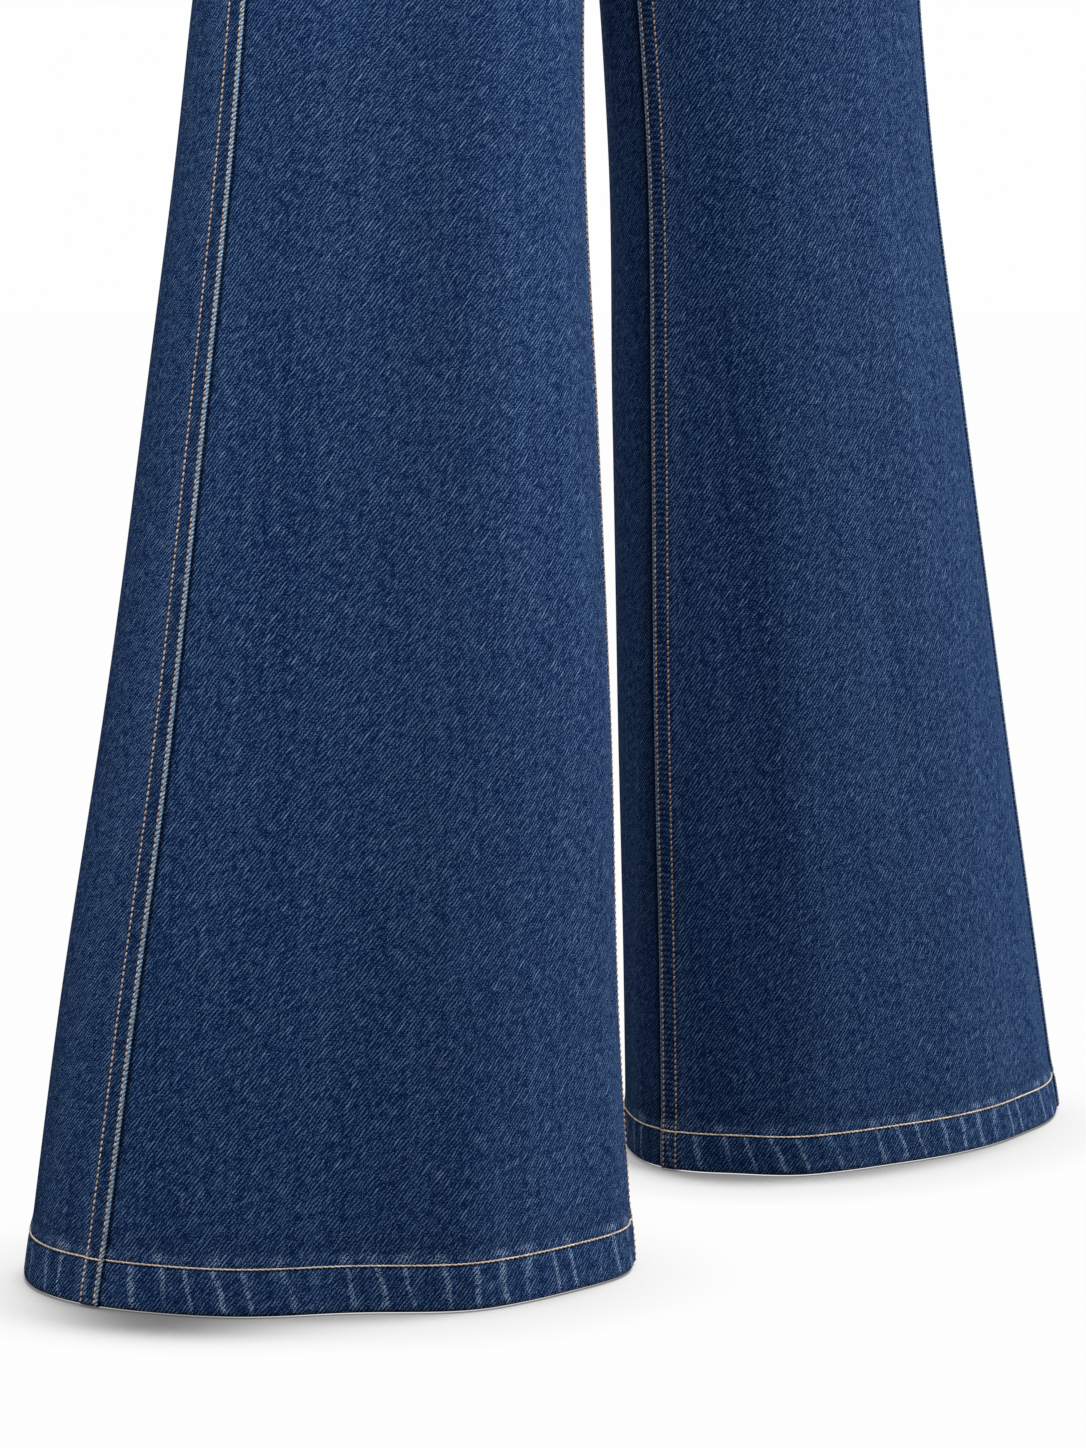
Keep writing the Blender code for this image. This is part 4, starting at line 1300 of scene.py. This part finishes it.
class Stitching:
    """Rows of stitches gathered into one piece."""

    def __init__(self, name, finish_name, pitch, radius, stitch=STITCH, slant=0.12):
        self.name, self.finish_name = name, finish_name
        self.pitch, self.radius = pitch, radius
        self.stitch, self.slant = stitch, slant
        self.shape = bmesh.new()

    def row(self, path, pitch=None):
        pitch, radius, stitch = pitch or self.pitch, self.radius, self.stitch
        points, outward = path
        run = runs(points)
        count = int(run[-1] / pitch)
        if count < 1:
            return
        along, thick, lift = (np.tile([one[i] for one in stitch], count) for i in range(3))
        along = np.append((along + np.repeat(np.arange(count), len(stitch))), count)
        thick = np.append(thick, stitch[0][1])
        lift = np.append(lift, stitch[0][2])
        at = along * run[-1] / count
        base = np.stack([np.interp(at, run, points[:, i]) for i in range(3)], axis=-1)
        up = np.stack([np.interp(at, run, outward[:, i]) for i in range(3)], axis=-1)
        ahead = np.gradient(base, axis=0)
        beside = np.cross(ahead, up)
        beside /= np.linalg.norm(beside, axis=-1, keepdims=True)
        sway = ((along % 1.0) - 0.5) * self.slant * pitch
        base = base + up * (lift * radius)[:, None] + beside * sway[:, None]
        turn = np.arange(THREAD_SIDES + 1) * math.tau / THREAD_SIDES
        ring = (np.cos(turn)[:, None, None] * beside + np.sin(turn)[:, None, None] * up)
        places = base + ring * (thick * radius)[:, None]
        strand = bmesh.new()
        columns = len(at)
        bmesh.ops.create_grid(strand, x_segments=columns - 1, y_segments=THREAD_SIDES, size=0.5)
        for vertex in strand.verts:
            column = round((vertex.co.x + 0.5) * (columns - 1))
            line = round((vertex.co.y + 0.5) * THREAD_SIDES)
            vertex.co = places[line, column]
        bmesh.ops.remove_doubles(strand, verts=strand.verts[:], dist=0.0000001)
        bmesh.ops.holes_fill(strand, edges=[e for e in strand.edges if e.is_boundary], sides=0)
        if strand.calc_volume(signed=True) < 0.0:
            bmesh.ops.reverse_faces(strand, faces=strand.faces[:])
        mesh = mesh_of("strand", strand)
        self.shape.from_mesh(mesh)
        bpy.data.meshes.remove(mesh)

    def rows(self, paths):
        for path in paths:
            self.row(path)

    def done(self):
        mesh = mesh_of(self.name, self.shape)
        mesh.shade_smooth()
        mesh.materials.append(finish_named(self.finish_name))
        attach(piece_of(self.name, mesh), "root")


def seam_stitching(name, sizes, finish_name="seam_thread"):
    return Stitching(name, finish_name, sizes.seam_pitch, sizes.seam_thread)


def along_edge(side, edges, heights, from_edge, crease_rows, lap_fade):
    """A path up a leg panel at a distance from its lapped edge."""
    sections = [panel_section(side, edges, height) for height in heights]
    width = np.array([section.length for section in sections])
    place = width - EDGE - from_edge
    angle = np.array([section.angle(away) for section, away in zip(sections, place)])
    out = creases(crease_rows, side, place, width, heights)
    out = out + LAP(from_edge) * lap_fade(heights)
    out = out + np.where(heights < HEM_PROFILE[-1][0], HEM(heights), 0.0)
    return surface_path(side, heights, angle, out)


def along_hem(side, edges, crease_rows, height):
    """A path round a leg panel at a height, over its lap."""
    section = panel_section(side, edges, height)
    place = np.linspace(EDGE, section.length - EDGE, 260)
    from_edge = section.length - EDGE - place
    out = creases(crease_rows, side, place, section.length, np.full(place.shape, height))
    out = out + HEM(height) + np.where(from_edge < LAP_PROFILE[-1][0], LAP(from_edge), 0.0)
    return surface_path(side, np.full(place.shape, height), section.angle(place), out)


class JEANS_OT_leg_stitching(bpy.types.Operator):
    """Sew the double rows of the outseams and inseams, and the row round each hem"""
    bl_idname = "jeans.leg_stitching"
    bl_label = "Leg Stitching"

    def execute(self, context):
        sizes = context.scene.jeans_sizes
        # The inseams' thread is painted darker, as painted shade.
        panels = (("outseam", "seam_thread", back_edges, BACK_CREASES,
                   BAND_FOOT - YOKE_SIDE_DROP - 0.001, all_the_way),
                  ("inseam", "inner_thread", front_edges, FRONT_CREASES,
                   CROTCH_HEIGHT - 0.012, crotch_fade))
        for side, hand in SIDES:
            for seam, thread, edges, crease_rows, top, fade in panels:
                rows = seam_stitching(f"{seam}_stitching_{hand}", sizes, thread)
                heights = np.concatenate((np.linspace(0.0006, 0.05, 26),
                                          np.arange(0.054, top, 0.004), (top,)))
                for from_edge in SEAM_ROWS:
                    rows.row(along_edge(side, edges, heights, from_edge, crease_rows, fade))
                rows.done()
            hem = Stitching(f"hem_stitching_{hand}", "hem_thread", sizes.hem_pitch,
                            sizes.hem_thread, HEM_STITCH, 0.10)
            for edges, crease_rows in ((front_edges, FRONT_CREASES), (back_edges, BACK_CREASES)):
                hem.row(along_hem(side, edges, crease_rows, sizes.hem_stitch))
            hem.done()
        return {"FINISHED"}


def across_panel(side, edges, heights, distance, out):
    """A path at a distance, or one for each height, from a panel's first edge."""
    angle = np.array([panel_section(side, edges, height).angle(away)
                      for height, away in zip(heights, np.broadcast_to(distance, heights.shape))])
    return surface_path(side, heights, angle, out)


def pocket_path(side, share, climb, out):
    height, angle, _ = pocket_point(side, share, climb)
    return surface_path(side, height, angle, out)


TWIN_ROWS = (0.0024, 0.0085)    # beside the pocket mouths, the centre seams and the fly's curve
POCKET_ROWS = (0.0022, 0.0085)  # in from the back pocket's edge
SEAT_START = CROTCH_HEIGHT + 0.024


def yoke_rows(side):
    """Two rows along the foot of a yoke."""
    share = np.linspace(0.0, 1.0, 70)
    for from_edge in SEAM_ROWS:
        height = yoke_line(share) + from_edge
        length = np.array([panel_section(side, back_edges, one).length for one in height])
        yield across_panel(side, back_edges, height, EDGE + (length - 2 * EDGE) * share,
                           float(LAP(from_edge)))


def mouth_rows(side):
    """Two rows round the mouth of a front pocket."""
    turn = np.radians(np.linspace(2.0, 90.0, 60))
    for away in TWIN_ROWS:
        yield across_panel(side, front_edges, BAND_FOOT - (MOUTH_DROP + away) * np.cos(turn),
                           (MOUTH_WIDTH + away) * np.sin(turn), 0.0)


def back_pocket_rows(side, face):
    """Two rows round a back pocket, and one along its top hem."""
    for inset in POCKET_ROWS:
        edge, foot = inset / POCKET_WIDTH, inset / POCKET_SIDE_DEPTH
        down = np.linspace(0.999, foot, 50)
        over = np.linspace(edge, 1.0 - edge, 60)[1:-1]
        share = np.concatenate((np.full(50, edge), over, np.full(50, 1.0 - edge)))
        climb = np.concatenate((down, np.full(58, foot), down[::-1]))
        yield pocket_path(side, share, climb, face + 0.0003)
    over = np.linspace(0.01, 0.99, 40)
    yield pocket_path(side, over, 1.0 - (POCKET_HEM - 0.002) / pocket_depth(over), face + 0.0008)


def centre_rows(lift):
    """Two rows up the centre back, two below the fly, and two round the fly's curve."""
    for away in TWIN_ROWS:
        height = np.linspace(SEAT_START, BAND_FOOT - YOKE_MIDDLE_DROP - 0.001, 70)
        yield across_panel(1, back_edges, height, away, 0.0)
        height = np.linspace(SEAT_START, BAND_FOOT - FLY_DEPTH - 0.004, 40)
        angle = np.array([front_section(1, one).angle(away) for one in height])
        yield surface_path(1, height, angle, 0.0)
        depths = np.linspace(0.0005, FLY_DEPTH - 0.001 - away, 90)
        reach = fly_reach(np.minimum(depths + away, FLY_DEPTH)) - away
        reach = np.maximum(reach, 0.0005)[:, None]
        _, points = middle_points(depths, reach, lift)
        _, higher = middle_points(depths, reach, lift + 0.001)
        yield points[:, 0], (higher - points)[:, 0] / 0.001


class JEANS_OT_seat_stitching(bpy.types.Operator):
    """Sew the yokes, the centre seams, the fly and the pockets"""
    bl_idname = "jeans.seat_stitching"
    bl_label = "Seat Stitching"

    def execute(self, context):
        sizes = context.scene.jeans_sizes
        seams = seam_stitching("seat_seam_stitching", sizes)
        pockets = seam_stitching("pocket_stitching", sizes)
        for side, _ in SIDES:
            seams.rows(yoke_rows(side))
            pockets.rows(mouth_rows(side))
            pockets.rows(back_pocket_rows(side, POCKET_LIFT + sizes.cloth))
        seams.rows(centre_rows(FLY_LIFT + sizes.cloth + THREAD_LIFT))
        seams.done()
        pockets.done()
        return {"FINISHED"}


BAND_SEWN_ROWS = (0.0033, 0.0366)   # height over the band's foot
BAND_END_ROW = 0.9945               # as a share of the way round
LOOP_ROW = 0.0032                   # to each side of a loop's middle
BAR_TACKS = (0.0006, 0.0018)        # rows across each end of a loop, in from its long rows' ends
BAR_TACK_REACH = 0.0046
BAR_TACK_PITCH = 0.0023


class JEANS_OT_waist_stitching(bpy.types.Operator):
    """Sew the waistband's edges and its lapped end, and the belt loops"""
    bl_idname = "jeans.waist_stitching"
    bl_label = "Waist Stitching"

    def execute(self, context):
        waist = seam_stitching("waist_stitching", context.scene.jeans_sizes)
        share = np.linspace(0.006, 0.994, 400)
        for rise in BAND_SEWN_ROWS:
            waist.row(surface_path(1, BAND_FOOT + GAP + rise, BAND_START + BAND_SWEEP * share,
                                   band_lift(share) + float(BAND(rise))))
        height = BAND_FOOT + GAP + np.linspace(0.0036, 0.0362, 20)
        waist.row(surface_path(1, height, BAND_START + BAND_SWEEP * BAND_END_ROW,
                               float(band_lift(BAND_END_ROW)) + 0.0003))
        lift = LOOP_LIFT + LOOP_THICKNESS + THREAD_LIFT
        climb = LOOP_FOOT + LOOP_HEIGHT * np.linspace(0.03, 0.97, 14)
        for middle in LOOP_ANGLES.values():
            for across in (-LOOP_ROW, LOOP_ROW):
                angle = np.array([loop_angle(middle, height, across) for height in climb])
                waist.row(surface_path(1, climb, angle, lift))
            for end, inwards in ((climb[0], 1), (climb[-1], -1)):
                for tack in BAR_TACKS:
                    height = end + inwards * tack
                    across = np.linspace(-BAR_TACK_REACH, BAR_TACK_REACH, 6)
                    waist.row(surface_path(1, height, loop_angle(middle, height, across), lift),
                              BAR_TACK_PITCH)
        waist.done()
        return {"FINISHED"}


# ---- stage --------------------------------------------------------------------------------------
SHADE_MIDDLE = (-0.228, -0.335)     # the deepest of the floor's shade, right and away as seen
SHADE_REACH = (0.066, 0.075)
SHADE_LEAN = (0.20, 0.48, 0.85)     # which way the floor looks for the hems: right, away and up
# Brightness of the floor by how much of the sky it sees, the two ends first.
FAINT_SHADE = ((0.0, 0.030), (1.0, 0.985), (0.46, 0.320), (0.60, 0.850), (0.86, 0.935))
DEEP_SHADE = ((0.0, 0.030), (1.0, 0.985), (0.50, 0.120), (0.62, 0.180), (0.70, 0.310),
              (0.79, 0.660), (0.87, 0.900))
FLOOR_RADIUS = 40.0
BACKDROP = (0.990, 0.990, 0.990, 1.0)
LIGHTS_AIM = Vector((0.0, 0.0, -0.62))
SOFT_BOXES = (
    # name, right, front and up of what they aim at, as the camera sees it, width, height
    ("right", 2.52, -0.44, 0.45, 1.8, 2.2),
    ("left", -2.56, 0.00, 0.45, 1.5, 2.2),
    ("front", 0.00, 1.30, 2.25, 1.8, 1.8),
    ("back", 0.00, -2.25, 1.30, 2.0, 1.8),
)
UP = Vector((0.0, 0.0, 1.0))


def as_seen(studio):
    """The directions to the right of the camera and towards it, level with the floor."""
    return (Vector((math.cos(studio.turn), math.sin(studio.turn), 0.0)),
            Vector((math.sin(studio.turn), -math.cos(studio.turn), 0.0)))


def pale_floor(name):
    """White glowing floor, darkened by painted shadow close under the hems, most at the near leg's
    outer corner.
    """
    s = Shader(bpy.data.materials.new(name))
    studio = bpy.context.scene.jeans_studio
    right, front = as_seen(studio)
    away = -front
    lean = right * SHADE_LEAN[0] + away * SHADE_LEAN[1] + UP * SHADE_LEAN[2]
    toward = s.term("ShaderNodeCombineXYZ", {}, dict(enumerate(lean)))
    open_sky = s.term("ShaderNodeAmbientOcclusion", {"samples": 24},
                      {"Distance": studio.contact, "Normal": toward}, "AO")
    x, y = s.parts(s.term("ShaderNodeNewGeometry", {}, {}, "Position"))
    # A painted patch of deeper shadow at the near leg's outer corner.
    over = (x * right.x + y * right.y - SHADE_MIDDLE[0]) / SHADE_REACH[0]
    back = (x * away.x + y * away.y - SHADE_MIDDLE[1]) / SHADE_REACH[1]
    near_corner = (-(over * over + back * back)).math("EXPONENT")
    glow = s.term("ShaderNodeEmission", {},
                  {"Color": s.mix(near_corner, s.greys(FAINT_SHADE, open_sky),
                                  s.greys(DEEP_SHADE, open_sky)), "Strength": 1.0})
    s.node("ShaderNodeOutputMaterial", {}, {0: glow})
    return s.block


def studio_world(name, ambient):
    """Near white behind the jeans, and faint light all round them."""
    s = Shader(bpy.data.worlds.new(name))
    seen = s.term("ShaderNodeBackground", {}, {"Color": BACKDROP})
    around = s.term("ShaderNodeBackground", {},
                    {"Color": (1.0, 1.0, 1.0, 1.0), "Strength": ambient})
    by_camera = s.term("ShaderNodeLightPath", {}, {}, "Is Camera Ray")
    both = s.term("ShaderNodeMixShader", {}, {0: by_camera, 1: around, 2: seen})
    s.node("ShaderNodeOutputWorld", {}, {0: both})
    return s.block


def soft_box(name, place, wide, tall, power):
    light = bpy.data.lights.new(name, "AREA")
    light.shape = "RECTANGLE"
    light.size, light.size_y = wide, tall
    light.energy = power
    lamp = piece_of(name, light)
    lamp.location = place
    lamp.rotation_euler = (LIGHTS_AIM - place).to_track_quat("-Z", "Y").to_euler()
    lamp.visible_camera = False


class JEANS_OT_stage(bpy.types.Operator):
    """Set the pale floor, the soft boxes and the camera"""
    bl_idname = "jeans.stage"
    bl_label = "Stage"

    def execute(self, context):
        studio = context.scene.jeans_studio
        shape = bmesh.new()
        bmesh.ops.create_circle(shape, cap_ends=True, segments=64, radius=FLOOR_RADIUS)
        bmesh.ops.translate(shape, vec=(0.0, 0.0, -WAIST_HEIGHT - studio.floor_gap),
                            verts=shape.verts[:])
        floor = piece_of("floor", mesh_of("floor", shape))
        floor.data.materials.append(pale_floor("pale_floor"))
        floor.visible_diffuse = False
        floor.visible_glossy = False
        floor.visible_shadow = False

        context.scene.world = studio_world("studio", studio.ambient)
        right, front = as_seen(studio)
        for name, rightwards, forwards, upwards, wide, tall in SOFT_BOXES:
            place = LIGHTS_AIM + right * rightwards + front * forwards + UP * upwards
            soft_box(f"{name}_box", place, wide, tall, getattr(studio, f"{name}_light"))

        lens = bpy.data.cameras.new("camera")
        lens.lens = studio.lens
        lens.sensor_width = 36.0
        lens.clip_end = 100.0
        camera = piece_of("camera", lens)
        camera.location = studio.camera
        camera.rotation_euler = (math.pi / 2 - studio.dip, 0.0, studio.turn)
        context.scene.camera = camera
        context.scene.view_settings.view_transform = "Standard"
        context.scene.view_settings.look = "None"
        return {"FINISHED"}


class JEANS_PT_panel(bpy.types.Panel):
    """Lists the jeans' sizes, colours and pieces in the sidebar"""
    bl_label = "Wide Leg Jeans"
    bl_idname = "JEANS_PT_panel"
    bl_space_type = "VIEW_3D"
    bl_region_type = "UI"
    bl_category = "Jeans"

    def draw(self, context):
        scene = context.scene
        for group in (scene.jeans_sizes, scene.jeans_colours, scene.jeans_studio):
            box = self.layout.box()
            for name in group.__annotations__:
                box.prop(group, name)
        for operator in OPERATORS:
            self.layout.operator(operator.bl_idname)


OPERATORS = (JEANS_OT_legs, JEANS_OT_seat, JEANS_OT_pockets, JEANS_OT_waistband,
             JEANS_OT_belt_loops, JEANS_OT_fly, JEANS_OT_button, JEANS_OT_leg_stitching,
             JEANS_OT_seat_stitching, JEANS_OT_waist_stitching, JEANS_OT_stage)
GROUPS = {"jeans_sizes": JeansSizes, "jeans_colours": JeansColours, "jeans_studio": JeansStudio}


def register():
    for group in GROUPS.values():
        bpy.utils.register_class(group)
    for name, group in GROUPS.items():
        setattr(bpy.types.Scene, name, PointerProperty(type=group))
    for operator in OPERATORS:
        bpy.utils.register_class(operator)
    bpy.utils.register_class(JEANS_PT_panel)


def unregister():
    bpy.utils.unregister_class(JEANS_PT_panel)
    for operator in reversed(OPERATORS):
        bpy.utils.unregister_class(operator)
    for name in GROUPS:
        delattr(bpy.types.Scene, name)
    for group in reversed(GROUPS.values()):
        bpy.utils.unregister_class(group)


def main():
    register()
    for operator in OPERATORS:
        group, name = operator.bl_idname.split(".")
        getattr(getattr(bpy.ops, group), name)()


if __name__ == "__main__":
    main()
